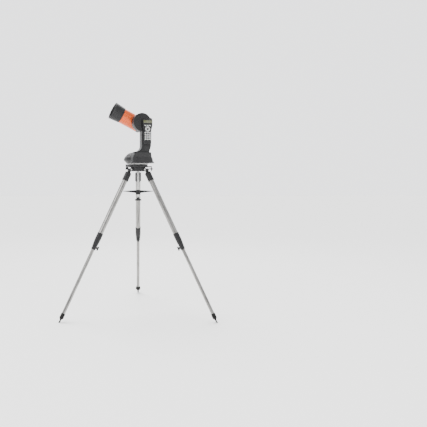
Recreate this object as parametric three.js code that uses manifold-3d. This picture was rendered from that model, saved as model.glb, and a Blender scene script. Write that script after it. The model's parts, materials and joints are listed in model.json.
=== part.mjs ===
// A star tracker: a motorised single-arm alt-azimuth mount with a short telescope, on a steel field tripod.
// Millimetres, +Z up. The tripod's axis is modelled at X = Y = 0 with the floor at Z = 0.
// At the end the whole model is moved so that the middle of its bounding box's base is the origin.
import * as THREE from "three";
import { mergeVertices } from "three/addons/utils/BufferGeometryUtils.js";
import Module from "manifold-3d";

const wasm = await Module();
wasm.setup();

// ---------- Driving dimensions ----------
const GAP = 0.3; // between pieces that touch
const DEGREE = Math.PI / 180;

// Tripod head and legs
const HEAD_TOP = 1130;
const HEAD_HEIGHT = 30;
const HEAD_RADIUS = 58;
const HINGE_RADIUS = 72; // leg hinges, from the tripod's axis
const HINGE_HEIGHT = 1112;
const FOOT_RADIUS = 661;
const LEG_DIRECTIONS = [90, 210, 330]; // degrees about Z
const HINGE_BOLT_RADIUS = 3.5;
const TANG_WIDTH = 15.4;
const TANG_RADIUS = 10;
const LUG_WIDTH = 11; // each of the two lugs that hold a tang
const SOCKET_LENGTH = 96;
const SOCKET_NECK = 24; // hinge to the top of the round socket
const UPPER_TUBE_RADIUS = 19;
const SOCKET_RADIUS = UPPER_TUBE_RADIUS + 5;
const UPPER_TUBE_WALL = 1.6;
const UPPER_TUBE_START = 34; // down the leg, from the hinge
const COLLAR_START = 541;
const COLLAR_LENGTH = 135;
const COLLAR_RADIUS = UPPER_TUBE_RADIUS + 3;
const COLLAR_GRIP = 44; // how far the upper tube goes into the collar
const LOWER_TUBE_RADIUS = 12.5;
const LOWER_TUBE_WALL = 1.5;
const LOWER_TUBE_OVERLAP = 104; // hidden in the upper tube at full length
const KNOB_SHAFT_RADIUS = 3.5;
const KNOB_FROM_COLLAR_END = 22;
const KNOB_BAR_LENGTH = 31;
const FOOT_SLEEVE_LENGTH = 34;
const FOOT_TIP_LENGTH = 37;
const FOOT_TIP_RADIUS = 6;

// Centre rod, brace and its knob
const ROD_RADIUS = 8;
const ROD_BOTTOM = 868;
const ROD_SEAT = 11; // how far the rod goes up into the head
const BRACE_HEIGHT = 950;
const BRACE_CLEARANCE = 3.84; // from a brace arm's tip to the leg, at the middle of the tip
const BRACE_HUB_RADIUS = 19;
const BRACE_DROP = 24;
const BRACE_KNOB_HEIGHT = 879;
const BRACE_KNOB_RADIUS = 25;

// Wedge: the tilt plate and what holds it
const TILT_PLATE_RADIUS = 72;
const TILT_PLATE_BOTTOM = 1131;
const TILT_PLATE_THICKNESS = 8;
const PIVOT_Y = 84;
const PIVOT_HEIGHT = 1136;
const PIVOT_EYE_RADIUS = 8;
const PIVOT_PIN_RADIUS = 3;
const PIVOT_TONGUE_HALF = 18; // half the width of the tilt plate's tongue
const PIVOT_EAR_WIDTH = 8;
const BRACKET_X = 101;
const BRACKET_THICKNESS = 6;
const BRACKET_BOTTOM = 1100;
const LOCK_BOLT_HEIGHT = 1118;
const LOCK_BOLT_RADIUS = 4;
const LOCK_BOLT_BACKED_OFF = 4; // its tip stands this far from the head
const MOUNTING_EAR_X = -86;
const MOUNTING_EAR_Y = 8;
const MOUNTING_BOLT_RADIUS = 4;

// Motorised base
const BASE_PLATE_BOTTOM = TILT_PLATE_BOTTOM + TILT_PLATE_THICKNESS + GAP;
const BASE_PLATE_THICKNESS = 13.7;
const BASE_PLATE_RADIUS = 75;
const GEAR_PLATE_BOTTOM = BASE_PLATE_BOTTOM + BASE_PLATE_THICKNESS + GAP;
const GEAR_PLATE_THICKNESS = 6.7;
const GEAR_MODULE = 3;
const GEAR_TEETH = 40;
const ALTITUDE_TEETH = 32;
const PINION_TEETH = 10;
const PINION_THICKNESS = 5;
const PINION_SHAFT_RADIUS = 2;
const BACKLASH = 1.2; // taken off each gear's tooth width at the pitch circle
const AZIMUTH_GEAR_TOP = 1179;
const SPINDLE_RADIUS = 16;
const SPINDLE_TOP = 1188;
const FLOOR_BOTTOM = 1161;
const FLOOR_THICKNESS = 4;
const FLOOR_RADIUS = 79;
const TUB_CENTRE_X = -3;
const SHELL_BOTTOM = 1158;
const SHELL_TOP = 1241;
const SHELL_WALL = 4;
const TUB_FOOT_RADIUS = 84;
const TUB_RADIUS = 109; // at its widest
const TUB_WIDEST_Z = SHELL_BOTTOM + 33;
const TUB_TOP_RADIUS = 60;
const BATTERY_LID_RADIUS = 40;
const BATTERY_LID_Y = 8;
const AZIMUTH_PINION_ANGLE = 200; // degrees, where the pinion stands round the gear
const MOTOR_RADIUS = 15;
const MOTOR_LENGTH = 32;
const SWITCH_WIDTH = 12;
const SWITCH_HEIGHT = 8;
const SWITCH_TRAVEL = 4;
const SWITCH_Z = 1190;

// Arm
const TUBE_RADIUS = 58; // the telescope's tube, which the arm carries on its inner side
const TUBE_WALL = 2;
const AZIMUTH_AT_REST = 17; // degrees, how far the arm is turned about Z
const ARM_INNER_Y = -TUBE_RADIUS - 14;
const ARM_SPLIT_Y = ARM_INNER_Y - 28;
const ARM_OUTER_Y = ARM_SPLIT_Y - 35;
const ARM_WALL = 4;
const ARM_LEFT = -10;
const ARM_RIGHT = 60;
const ARM_ROOT_LEFT = -55;
const ARM_ROOT_RIGHT = 47;
const ARM_FLARE_HEIGHT = 48;
const AXIS_X = -7; // the altitude axis, and the middle of the arm's round head
const ARM_RISE = 223; // the altitude axis above the base shell's top
const AXIS_HEIGHT = SHELL_TOP + ARM_RISE;
const ARM_HEAD_RADIUS = 68;
const ALTITUDE_SHAFT_RADIUS = 14;
const ALTITUDE_GEAR_THICKNESS = 6;
const ALTITUDE_PINION_ANGLE = -55; // degrees, where the pinion stands round the gear

// Hand control
const CONTROL_X = 27;
const CONTROL_BOTTOM = 1297;
const CONTROL_TOP = 1486;
const CONTROL_TOP_WIDTH = 76;
const CONTROL_BOTTOM_WIDTH = 58;
const CONTROL_THICKNESS = 24;
const CONTROL_WAIST = 1400; // where it starts to widen
const CONTROL_SHOULDER = 1436; // where it has its top width
const CONTROL_RECESS = 2.2; // how deep it sits in the arm's cover
const DISPLAY_WIDTH = 66;
const DISPLAY_HEIGHT = 19;
const DISPLAY_Z = 1466;
const KEY_TRAVEL = 1.5;
const KEY_DEPTH = 5.5;
const KEY_PROUD = 2;
const KEY_WIDTH = 13;
const KEY_HEIGHT = 8;
const MENU_KEY_Z = 1437;
const MENU_KEY_PITCH = 18;
const ARROW_Z = 1411;
const ARROW_REACH = 13;
const KEYPAD_PITCH_X = 17;
const KEYPAD_PITCH_Z = 16;
const KEYPAD_Z = 1360;
const KEYPAD_COLUMNS = 3;
const KEYPAD_ROWS = 4;

// Telescope, placed along its own axis from the altitude axis, positive towards the sky
const TUBE_ELEVATION = 26; // degrees above level at rest
const TUBE_FRONT = 138;
const TUBE_BACK = -10;
const FRONT_CELL_LENGTH = 79;
const FRONT_CELL_RADIUS = TUBE_RADIUS + 8;
const FRONT_CELL_WALL = 4;
const LENS_RADIUS = TUBE_RADIUS - 8;
const LENS_THICKNESS = 5;
const MIRROR_RADIUS = TUBE_RADIUS - TUBE_WALL - 3;
const MIRROR_THICKNESS = 12;
const REAR_TAPER_START = -34;
const REAR_TAPER_END = -70;
const REAR_HOUSING_RADIUS = 32;
const REAR_CELL_BACK = -112;
const PORT_RADIUS = 20;
const PORT_LENGTH = 14;
const LIGHT_PATH_RADIUS = 16;
const FOCUS_KNOB_DROP = 30;
const FOCUS_KNOB_RADIUS = 9.5;
const FOCUS_KNOB_LENGTH = 20;
const FOCUS_SHAFT_RADIUS = 3;
const EYEPIECE_BACK = -84; // where the eyepiece stands along the tube
const EYEPIECE_LEAN = 8; // degrees from square, towards the sky end
const EYEPIECE_BARREL_RADIUS = 15.8;
const EYEPIECE_RADIUS = 17;
const EYEPIECE_EYECUP_RADIUS = 20;
const HOLDER_HEIGHT = 42;
const EYEPIECE_LENGTH = 46;
const SADDLE_LENGTH = 104;
const SADDLE_WIDTH = 46;
const SADDLE_THICKNESS = 6;

// ---------- Materials ----------
function finish(colour, roughness, metalness) {
  return () => new THREE.MeshStandardMaterial({ color: colour, roughness, metalness });
}
const blackPlastic = finish(0x1b1b1d, 0.5, 0);
const darkCasting = finish(0x242426, 0.55, 0.2);
const steel = finish(0xb9b8b2, 0.3, 0.9);
const brightMetal = finish(0xd8d8d6, 0.2, 1);
const brass = finish(0xb58c3c, 0.35, 0.9);
const orangePaint = finish(0xe2551c, 0.22, 0.3);
const glass = finish(0x9fb4b8, 0.05, 0);
const whiteRubber = finish(0xe6e6e4, 0.6, 0);
const displayGlass = finish(0x5c6136, 0.15, 0);
const rubber = finish(0x151515, 0.8, 0);

// ---------- Solids ----------
// A closed geometry as a solid that can be joined and cut, with its faces pointing out.
function toSolid(geometry) {
  const bare = geometry.clone();
  bare.deleteAttribute("normal");
  bare.deleteAttribute("uv");
  const merged = mergeVertices(bare, 1e-4);
  const corners = merged.index.array;
  const triangles = [];
  for (let i = 0; i < corners.length; i += 3) {
    const [a, b, c] = [corners[i], corners[i + 1], corners[i + 2]];
    if (a !== b && b !== c && c !== a) triangles.push(a, b, c);
  }
  const build = (list) =>
    new wasm.Manifold(
      new wasm.Mesh({
        numProp: 3,
        vertProperties: merged.attributes.position.array,
        triVerts: new Uint32Array(list),
      }),
    );
  const solid = build(triangles);
  return solid.volume() < 0 ? build(triangles.reverse()) : solid;
}

function toGeometry(solid) {
  const mesh = solid.getMesh();
  const positions = new Float32Array(mesh.numVert * 3);
  for (let i = 0; i < mesh.numVert; i++) {
    const start = i * mesh.numProp;
    positions.set(mesh.vertProperties.subarray(start, start + 3), i * 3);
  }
  const geometry = new THREE.BufferGeometry();
  geometry.setAttribute("position", new THREE.BufferAttribute(positions, 3));
  geometry.setIndex(new THREE.BufferAttribute(mesh.triVerts, 1));
  return geometry;
}

function join(...geometries) {
  return toGeometry(geometries.map(toSolid).reduce((whole, next) => whole.add(next)));
}

function cut(whole, ...tools) {
  return toGeometry(tools.map(toSolid).reduce((left, tool) => left.subtract(tool), toSolid(whole)));
}

function common(first, second) {
  return toGeometry(toSolid(first).intersect(toSolid(second)));
}

function box(width, depth, height, x = 0, y = 0, z = 0) {
  return new THREE.BoxGeometry(width, depth, height).translate(x, y, z);
}

// A box given by its lowest and highest corners.
function boxBetween([x0, y0, z0], [x1, y1, z1]) {
  return box(x1 - x0, y1 - y0, z1 - z0, (x0 + x1) / 2, (y0 + y1) / 2, (z0 + z1) / 2);
}

// A round bar along Z from z0 to z1.
function bar(radius, z0, z1, sides = 20) {
  const length = z1 - z0;
  return new THREE.CylinderGeometry(radius, radius, length, sides)
    .rotateX(Math.PI / 2)
    .translate(0, 0, z0 + length / 2);
}

function barAlongX(radius, x0, x1, y, z, sides = 14) {
  return bar(radius, x0, x1, sides)
    .rotateY(Math.PI / 2)
    .translate(0, y, z);
}

function barAlongY(radius, y0, y1, x, z, sides = 16) {
  return bar(radius, -y1, -y0, sides)
    .rotateX(Math.PI / 2)
    .translate(x, 0, z);
}

// A profile of [radius, z] points turned about Z.
function turned(profile, sides = 24) {
  const points = profile.map(([radius, z]) => new THREE.Vector2(radius, z));
  const onAxis = profile[0][0] === 0 && profile[profile.length - 1][0] === 0;
  if (!onAxis) points.push(points[0].clone());
  return new THREE.LatheGeometry(points, sides).rotateX(Math.PI / 2);
}

function tube(outer, inner, z0, z1, sides = 20) {
  return turned(
    [
      [inner, z0],
      [outer, z0],
      [outer, z1],
      [inner, z1],
    ],
    sides,
  );
}

// A flat outline in X and Y, thickened up Z from z0 to z1.
function slab(shape, z0, z1, curveSegments = 12) {
  const settings = { depth: z1 - z0, bevelEnabled: false, curveSegments };
  return new THREE.ExtrudeGeometry(shape, settings).translate(0, 0, z0);
}

// A flat outline in X and Z, thickened along Y from y0 to y1.
function panel(shape, y0, y1, curveSegments = 12) {
  return slab(shape, -y1, -y0, curveSegments).rotateX(Math.PI / 2);
}

function polygon(points) {
  return new THREE.Shape(points.map(([x, y]) => new THREE.Vector2(x, y)));
}

// A rectangle with round corners, by its lowest and highest corners.
function roundedRectangle(x0, y0, x1, y1, radius) {
  const shape = new THREE.Shape();
  shape.absarc(x1 - radius, y0 + radius, radius, -Math.PI / 2, 0, false);
  shape.absarc(x1 - radius, y1 - radius, radius, 0, Math.PI / 2, false);
  shape.absarc(x0 + radius, y1 - radius, radius, Math.PI / 2, Math.PI, false);
  shape.absarc(x0 + radius, y0 + radius, radius, Math.PI, 1.5 * Math.PI, false);
  return shape;
}

// The outline of a spur gear, with straight-sided teeth.
function gearOutline(teeth, phase) {
  const pitchRadius = (teeth * GEAR_MODULE) / 2;
  const root = pitchRadius - 1.1 * GEAR_MODULE;
  const tip = pitchRadius + 0.8 * GEAR_MODULE;
  const step = (2 * Math.PI) / teeth;
  const halfAtPitch = step / 4 - BACKLASH / 2 / pitchRadius;
  const halfAtRoot = halfAtPitch * 1.5;
  const halfAtTip = halfAtPitch * 0.5;
  const points = [];
  for (let i = 0; i < teeth; i++) {
    const middle = phase + i * step;
    const corners = [
      [root, -halfAtRoot],
      [tip, -halfAtTip],
      [tip, halfAtTip],
      [root, halfAtRoot],
    ];
    for (const [radius, turn] of corners)
      points.push([radius * Math.cos(middle + turn), radius * Math.sin(middle + turn)]);
  }
  return polygon(points);
}

function node(name, geometry, material) {
  const mesh = new THREE.Mesh(geometry, material());
  mesh.name = name;
  return mesh;
}

function group(...children) {
  const made = new THREE.Group();
  if (children.length) made.add(...children);
  return made;
}

// ---------- Tripod ----------
const LEG_RISE = HINGE_HEIGHT;
const LEG_SPREAD = FOOT_RADIUS - HINGE_RADIUS;
const LEG_ANGLE = Math.atan2(LEG_SPREAD, LEG_RISE);
const LEG_LENGTH = Math.hypot(LEG_SPREAD, LEG_RISE);
const HEAD_BOTTOM = HEAD_TOP - HEAD_HEIGHT;
const SLOT_WIDTH = TANG_WIDTH + 2 * GAP;
const LUG_REACH = HINGE_RADIUS + TANG_RADIUS + 3;
const LUG_HALF = SLOT_WIDTH / 2 + LUG_WIDTH;
const LUG_TOP = HINGE_HEIGHT + TANG_RADIUS;
const BRACE_TIP_TOP = -1; // a brace arm's tip, from BRACE_HEIGHT
const LEG_AXIS_AT_BRACE = HINGE_RADIUS + (HINGE_HEIGHT - BRACE_HEIGHT - BRACE_TIP_TOP) * Math.tan(LEG_ANGLE);
const BRACE_REACH = LEG_AXIS_AT_BRACE - UPPER_TUBE_RADIUS / Math.cos(LEG_ANGLE) - BRACE_CLEARANCE;

function tripodHead() {
  let body = bar(HEAD_RADIUS, HEAD_BOTTOM, HEAD_TOP, 28);
  const turnTo = (geometry, degrees) => geometry.rotateZ(degrees * DEGREE);
  for (const direction of LEG_DIRECTIONS) {
    const lugs = boxBetween([0, -LUG_HALF, HEAD_BOTTOM], [LUG_REACH, LUG_HALF, LUG_TOP]);
    body = join(body, turnTo(lugs, direction));
  }
  for (const direction of LEG_DIRECTIONS) {
    const slot = boxBetween(
      [HINGE_RADIUS - TANG_RADIUS - 4, -SLOT_WIDTH / 2, HEAD_BOTTOM - 1],
      [LUG_REACH + 5, SLOT_WIDTH / 2, LUG_TOP + 1],
    );
    const drilled = LUG_HALF + 5;
    const hole = barAlongY(HINGE_BOLT_RADIUS + GAP, -drilled, drilled, HINGE_RADIUS, HINGE_HEIGHT, 10);
    body = cut(body, turnTo(slot, direction), turnTo(hole, direction));
  }
  // Two ears behind the head hold the wedge's pivot pin.
  for (const side of [-1, 1]) {
    const near = PIVOT_TONGUE_HALF + 2 * GAP;
    const far = near + PIVOT_EAR_WIDTH;
    const [x0, x1] = side < 0 ? [-far, -near] : [near, far];
    const arm = boxBetween([x0, 30, LUG_TOP], [x1, PIVOT_Y, HEAD_TOP]);
    const eye = barAlongX(PIVOT_EYE_RADIUS, x0, x1, PIVOT_Y, PIVOT_HEIGHT);
    const web = boxBetween(
      [x0, PIVOT_Y - PIVOT_EYE_RADIUS, LUG_TOP],
      [x1, PIVOT_Y + PIVOT_EYE_RADIUS, PIVOT_HEIGHT],
    );
    body = join(body, arm, eye, web);
  }
  const pinHole = barAlongX(PIVOT_PIN_RADIUS + GAP, -60, 60, PIVOT_Y, PIVOT_HEIGHT, 10);
  const rodSeat = bar(ROD_RADIUS + GAP, HEAD_BOTTOM - 1, HEAD_BOTTOM + ROD_SEAT + GAP);
  return cut(body, pinHole, rodSeat);
}

function hingeBolt() {
  const shank = barAlongY(HINGE_BOLT_RADIUS, -LUG_HALF - 2, LUG_HALF + 6, 0, 0, 10);
  const head = barAlongY(7, -LUG_HALF - 5, -LUG_HALF - GAP, 0, 0, 6);
  return join(shank, head);
}

// Leg pieces: the hinge is at the origin, the leg runs down -Z and +X is its outer side.
function legSocket() {
  const tang = join(
    barAlongY(TANG_RADIUS, -TANG_WIDTH / 2, TANG_WIDTH / 2, 0, 0),
    boxBetween([-TANG_RADIUS, -TANG_WIDTH / 2, -SOCKET_NECK - 2], [TANG_RADIUS, TANG_WIDTH / 2, 0]),
  );
  const cup = turned([
    [0, -SOCKET_LENGTH],
    [SOCKET_RADIUS, -SOCKET_LENGTH],
    [SOCKET_RADIUS, -SOCKET_NECK - 6],
    [SOCKET_RADIUS - 5, -SOCKET_NECK],
    [0, -SOCKET_NECK],
  ]);
  const bore = bar(UPPER_TUBE_RADIUS + GAP, -SOCKET_LENGTH - 1, -UPPER_TUBE_START + GAP);
  const hole = barAlongY(HINGE_BOLT_RADIUS + GAP, -20, 20, 0, 0, 10);
  return cut(join(tang, cup), bore, hole);
}

const UPPER_TUBE_END = COLLAR_START + COLLAR_GRIP;
const COLLAR_END = COLLAR_START + COLLAR_LENGTH;
const KNOB_AT = COLLAR_END - KNOB_FROM_COLLAR_END;

function upperTube() {
  const inside = UPPER_TUBE_RADIUS - UPPER_TUBE_WALL;
  return tube(UPPER_TUBE_RADIUS, inside, -UPPER_TUBE_END + GAP, -UPPER_TUBE_START);
}

function lockCollar() {
  const endRadius = LOWER_TUBE_RADIUS + 3;
  const body = turned([
    [0, -COLLAR_END],
    [endRadius, -COLLAR_END],
    [endRadius + 2, -KNOB_AT],
    [COLLAR_RADIUS, -UPPER_TUBE_END - 8],
    [COLLAR_RADIUS, -COLLAR_START],
    [0, -COLLAR_START],
  ]);
  const boss = barAlongX(8, -LOWER_TUBE_RADIUS - 13, -LOWER_TUBE_RADIUS, 0, -KNOB_AT);
  return cut(
    join(body, boss),
    bar(UPPER_TUBE_RADIUS + GAP, -UPPER_TUBE_END, -COLLAR_START + 1),
    bar(LOWER_TUBE_RADIUS + GAP, -COLLAR_END - 1, -COLLAR_START),
    barAlongX(KNOB_SHAFT_RADIUS + GAP, -60, 0, 0, -KNOB_AT, 16),
  );
}

function lockKnob() {
  const barInner = -LOWER_TUBE_RADIUS - 16;
  const shaft = barAlongX(KNOB_SHAFT_RADIUS, barInner - 2, -LOWER_TUBE_RADIUS - GAP, 0, -KNOB_AT, 10);
  const half = KNOB_BAR_LENGTH / 2;
  const handle = panel(
    roundedRectangle(barInner - 9, -KNOB_AT - half, barInner, -KNOB_AT + half, 4),
    -5.5,
    5.5,
    4,
  );
  return join(shaft, handle);
}

const FOOT_SLEEVE_END = LEG_LENGTH - FOOT_TIP_LENGTH;

function lowerTube() {
  return tube(
    LOWER_TUBE_RADIUS,
    LOWER_TUBE_RADIUS - LOWER_TUBE_WALL,
    -FOOT_SLEEVE_END + GAP,
    -UPPER_TUBE_END + LOWER_TUBE_OVERLAP,
  );
}

function legFoot() {
  const sleeveRadius = LOWER_TUBE_RADIUS + 3;
  const body = turned(
    [
      [0, -LEG_LENGTH - 8],
      [FOOT_TIP_RADIUS, -LEG_LENGTH - 8],
      [FOOT_TIP_RADIUS, -FOOT_SLEEVE_END - 12],
      [sleeveRadius, -FOOT_SLEEVE_END - 3],
      [sleeveRadius, -FOOT_SLEEVE_END + FOOT_SLEEVE_LENGTH],
      [0, -FOOT_SLEEVE_END + FOOT_SLEEVE_LENGTH],
    ],
    24,
  );
  const ear = boxBetween(
    [-4, -sleeveRadius - 5, -FOOT_SLEEVE_END],
    [4, sleeveRadius + 5, -FOOT_SLEEVE_END + FOOT_SLEEVE_LENGTH - 8],
  );
  const bore = bar(LOWER_TUBE_RADIUS + GAP, -FOOT_SLEEVE_END, -FOOT_SLEEVE_END + FOOT_SLEEVE_LENGTH + 1);
  // The ground, seen from the leaning leg, cuts the tip flat.
  const ground = box(120, 60, 40, 0, 0, -20)
    .rotateY(LEG_ANGLE)
    .translate(0, 0, -LEG_LENGTH);
  return cut(join(body, ear), bore, ground);
}

function leg(number) {
  const parts = group(
    node("hinge_bolt_" + number, hingeBolt(), steel),
    node("leg_socket_" + number, legSocket(), blackPlastic),
    node("leg_upper_tube_" + number, upperTube(), steel),
    node("leg_lock_collar_" + number, lockCollar(), blackPlastic),
    node("leg_lock_knob_" + number, lockKnob(), blackPlastic),
    node("leg_lower_tube_" + number, lowerTube(), steel),
    node("leg_foot_" + number, legFoot(), rubber),
  );
  parts.position.set(HINGE_RADIUS, 0, HINGE_HEIGHT);
  parts.rotation.y = -LEG_ANGLE;
  const whole = group(parts);
  whole.rotation.z = LEG_DIRECTIONS[number - 1] * DEGREE;
  return whole;
}

function legBrace() {
  const side = polygon([
    [0, 4],
    [BRACE_REACH, BRACE_TIP_TOP],
    [BRACE_REACH, BRACE_TIP_TOP - 4],
    [BRACE_HUB_RADIUS + 6, -BRACE_DROP * 0.7],
    [0, -BRACE_DROP],
  ]);
  const top = new THREE.Shape();
  top.moveTo(0, -BRACE_HUB_RADIUS + 4);
  top.quadraticCurveTo(BRACE_REACH * 0.4, -6, BRACE_REACH, -3);
  top.lineTo(BRACE_REACH, 3);
  top.quadraticCurveTo(BRACE_REACH * 0.4, 6, 0, BRACE_HUB_RADIUS - 4);
  let body = bar(BRACE_HUB_RADIUS, -BRACE_DROP - 6, 5, 30);
  for (const direction of LEG_DIRECTIONS) {
    const arm = common(panel(side, -BRACE_HUB_RADIUS, BRACE_HUB_RADIUS), slab(top, -60, 20, 6));
    body = join(body, arm.rotateZ(direction * DEGREE));
  }
  return cut(body, bar(ROD_RADIUS + 2 * GAP, -60, 20));
}

function braceKnob() {
  const body = turned(
    [
      [0, -7],
      [BRACE_KNOB_RADIUS - 3, -7],
      [BRACE_KNOB_RADIUS, -3],
      [BRACE_KNOB_RADIUS, 4],
      [BRACE_KNOB_RADIUS - 3, 6],
      [14, 7],
      [13, 16],
      [0, 16],
    ],
    28,
  );
  return cut(body, bar(ROD_RADIUS + GAP, -60, 60));
}

function tripod() {
  const rod = bar(ROD_RADIUS, ROD_BOTTOM, HEAD_BOTTOM + ROD_SEAT);
  const brace = node("leg_brace", legBrace(), blackPlastic);
  brace.position.z = BRACE_HEIGHT;
  const knob = node("brace_knob", braceKnob(), blackPlastic);
  knob.position.z = BRACE_KNOB_HEIGHT;
  return group(
    node("tripod_head", tripodHead(), blackPlastic),
    node("center_rod", rod, steel),
    brace,
    knob,
    leg(1),
    leg(2),
    leg(3),
  );
}

// ---------- Wedge ----------
const TILT_PLATE_TOP = TILT_PLATE_BOTTOM + TILT_PLATE_THICKNESS;

// A rounded ear that reaches out to the mounting bolt.
function mountingEar(z0, z1) {
  const shape = roundedRectangle(MOUNTING_EAR_X - 12, MOUNTING_EAR_Y - 14, -40, MOUNTING_EAR_Y + 14, 11);
  return slab(shape, z0, z1, 6);
}

function tiltPlate() {
  const disc = bar(TILT_PLATE_RADIUS, TILT_PLATE_BOTTOM, TILT_PLATE_TOP, 28);
  const tongue = join(
    barAlongX(PIVOT_EYE_RADIUS, -PIVOT_TONGUE_HALF, PIVOT_TONGUE_HALF, PIVOT_Y, PIVOT_HEIGHT),
    boxBetween(
      [-PIVOT_TONGUE_HALF, TILT_PLATE_RADIUS - 20, TILT_PLATE_BOTTOM],
      [PIVOT_TONGUE_HALF, PIVOT_Y, TILT_PLATE_TOP],
    ),
  );
  const shelf = boxBetween(
    [50, -16, TILT_PLATE_BOTTOM],
    [BRACKET_X + BRACKET_THICKNESS, 16, TILT_PLATE_TOP],
  );
  const bracket = boxBetween(
    [BRACKET_X, -16, BRACKET_BOTTOM],
    [BRACKET_X + BRACKET_THICKNESS, 16, TILT_PLATE_TOP],
  );
  const ear = mountingEar(TILT_PLATE_BOTTOM, TILT_PLATE_TOP);
  const mountingHole = bar(MOUNTING_BOLT_RADIUS + GAP, 1100, 1160, 10);
  mountingHole.translate(MOUNTING_EAR_X, MOUNTING_EAR_Y, 0);
  return cut(
    join(disc, tongue, shelf, bracket, ear),
    barAlongX(PIVOT_PIN_RADIUS + GAP, -60, 60, PIVOT_Y, PIVOT_HEIGHT, 16),
    barAlongX(LOCK_BOLT_RADIUS + GAP, BRACKET_X - 5, 140, 0, LOCK_BOLT_HEIGHT, 16),
    mountingHole,
  );
}

function tiltPin() {
  const reach = PIVOT_TONGUE_HALF + PIVOT_EAR_WIDTH + 3;
  return join(
    barAlongX(PIVOT_PIN_RADIUS, -reach, reach, PIVOT_Y, PIVOT_HEIGHT, 16),
    barAlongX(6, reach, reach + 5, PIVOT_Y, PIVOT_HEIGHT, 6),
  );
}

function tiltLockBolt() {
  const outside = BRACKET_X + BRACKET_THICKNESS + GAP;
  return join(
    barAlongX(LOCK_BOLT_RADIUS, HEAD_RADIUS + LOCK_BOLT_BACKED_OFF, outside + 2, 0, LOCK_BOLT_HEIGHT, 16),
    barAlongX(7, outside, outside + 7, 0, LOCK_BOLT_HEIGHT, 6),
  );
}

function mountingBolt() {
  const knobTop = TILT_PLATE_BOTTOM - 2 * GAP;
  const knob = turned(
    [
      [0, knobTop - 18],
      [10, knobTop - 18],
      [12, knobTop - 15],
      [12, knobTop - 6],
      [9, knobTop],
      [0, knobTop],
    ],
    16,
  );
  const shank = bar(MOUNTING_BOLT_RADIUS, knobTop - 2, BASE_PLATE_BOTTOM + 11, 10);
  return join(knob, shank).translate(MOUNTING_EAR_X, MOUNTING_EAR_Y, 0);
}

function wedge() {
  return group(
    node("tilt_plate", tiltPlate(), darkCasting),
    node("tilt_pin", tiltPin(), steel),
    node("tilt_lock_bolt", tiltLockBolt(), brightMetal),
    node("mounting_bolt", mountingBolt(), blackPlastic),
  );
}

// ---------- Motorised base ----------
const GEAR_PITCH_RADIUS = (GEAR_TEETH * GEAR_MODULE) / 2;
const PINION_PITCH_RADIUS = (PINION_TEETH * GEAR_MODULE) / 2;
const GEAR_CENTRES = GEAR_PITCH_RADIUS + PINION_PITCH_RADIUS;
const GEAR_TIP_RADIUS = GEAR_PITCH_RADIUS + GEAR_MODULE;

function basePlate() {
  const top = BASE_PLATE_BOTTOM + BASE_PLATE_THICKNESS;
  const disc = bar(BASE_PLATE_RADIUS, BASE_PLATE_BOTTOM, top, 28);
  const spindle = bar(SPINDLE_RADIUS, top - 1, SPINDLE_TOP);
  const ear = mountingEar(BASE_PLATE_BOTTOM + 2, top);
  const hole = bar(MOUNTING_BOLT_RADIUS + GAP, 1100, BASE_PLATE_BOTTOM + 11 + GAP, 10);
  return cut(join(disc, spindle, ear), hole.translate(MOUNTING_EAR_X, MOUNTING_EAR_Y, 0));
}

// The pinion's tooth gap has to face the gear's tooth, so the gear has a tooth on their centre line.
function azimuthGearPlate() {
  const plateTop = GEAR_PLATE_BOTTOM + GEAR_PLATE_THICKNESS;
  const plate = bar(BASE_PLATE_RADIUS + 1, GEAR_PLATE_BOTTOM, plateTop, 28);
  const teeth = slab(gearOutline(GEAR_TEETH, AZIMUTH_PINION_ANGLE * DEGREE), plateTop - 1, AZIMUTH_GEAR_TOP);
  return cut(join(plate, teeth), bar(SPINDLE_RADIUS + GAP, 1100, 1200));
}

function pinion(turnedTo) {
  const halfTooth = Math.PI / PINION_TEETH;
  const outline = gearOutline(PINION_TEETH, turnedTo + Math.PI + halfTooth);
  return cut(slab(outline, 0, PINION_THICKNESS), bar(PINION_SHAFT_RADIUS + GAP, -5, PINION_THICKNESS + 5, 8));
}

function azimuthPinion() {
  const angle = AZIMUTH_PINION_ANGLE * DEGREE;
  const bottom = AZIMUTH_GEAR_TOP - PINION_THICKNESS;
  return pinion(angle).translate(GEAR_CENTRES * Math.cos(angle), GEAR_CENTRES * Math.sin(angle), bottom);
}

function azimuthMotor() {
  const angle = AZIMUTH_PINION_ANGLE * DEGREE;
  const floorTop = FLOOR_BOTTOM + FLOOR_THICKNESS;
  const plateBottom = AZIMUTH_GEAR_TOP + 1;
  const can = bar(MOTOR_RADIUS, plateBottom + 2, plateBottom + MOTOR_LENGTH);
  const plate = boxBetween([-8, -26, plateBottom], [8, 26, plateBottom + 3]);
  const postAt = (y) => bar(3.5, floorTop + GAP, plateBottom + 1, 8).translate(0, y, 0);
  const shaft = bar(PINION_SHAFT_RADIUS, AZIMUTH_GEAR_TOP - PINION_THICKNESS, plateBottom + 1, 8);
  return join(can, plate, postAt(-22), postAt(22), shaft)
    .rotateZ(angle)
    .translate(GEAR_CENTRES * Math.cos(angle), GEAR_CENTRES * Math.sin(angle), 0);
}

function baseFloor() {
  const disc = bar(FLOOR_RADIUS, FLOOR_BOTTOM, FLOOR_BOTTOM + FLOOR_THICKNESS, 28);
  disc.translate(TUB_CENTRE_X, 0, 0);
  return cut(disc, bar(GEAR_TIP_RADIUS + 1, 1100, 1200, 28));
}

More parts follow.
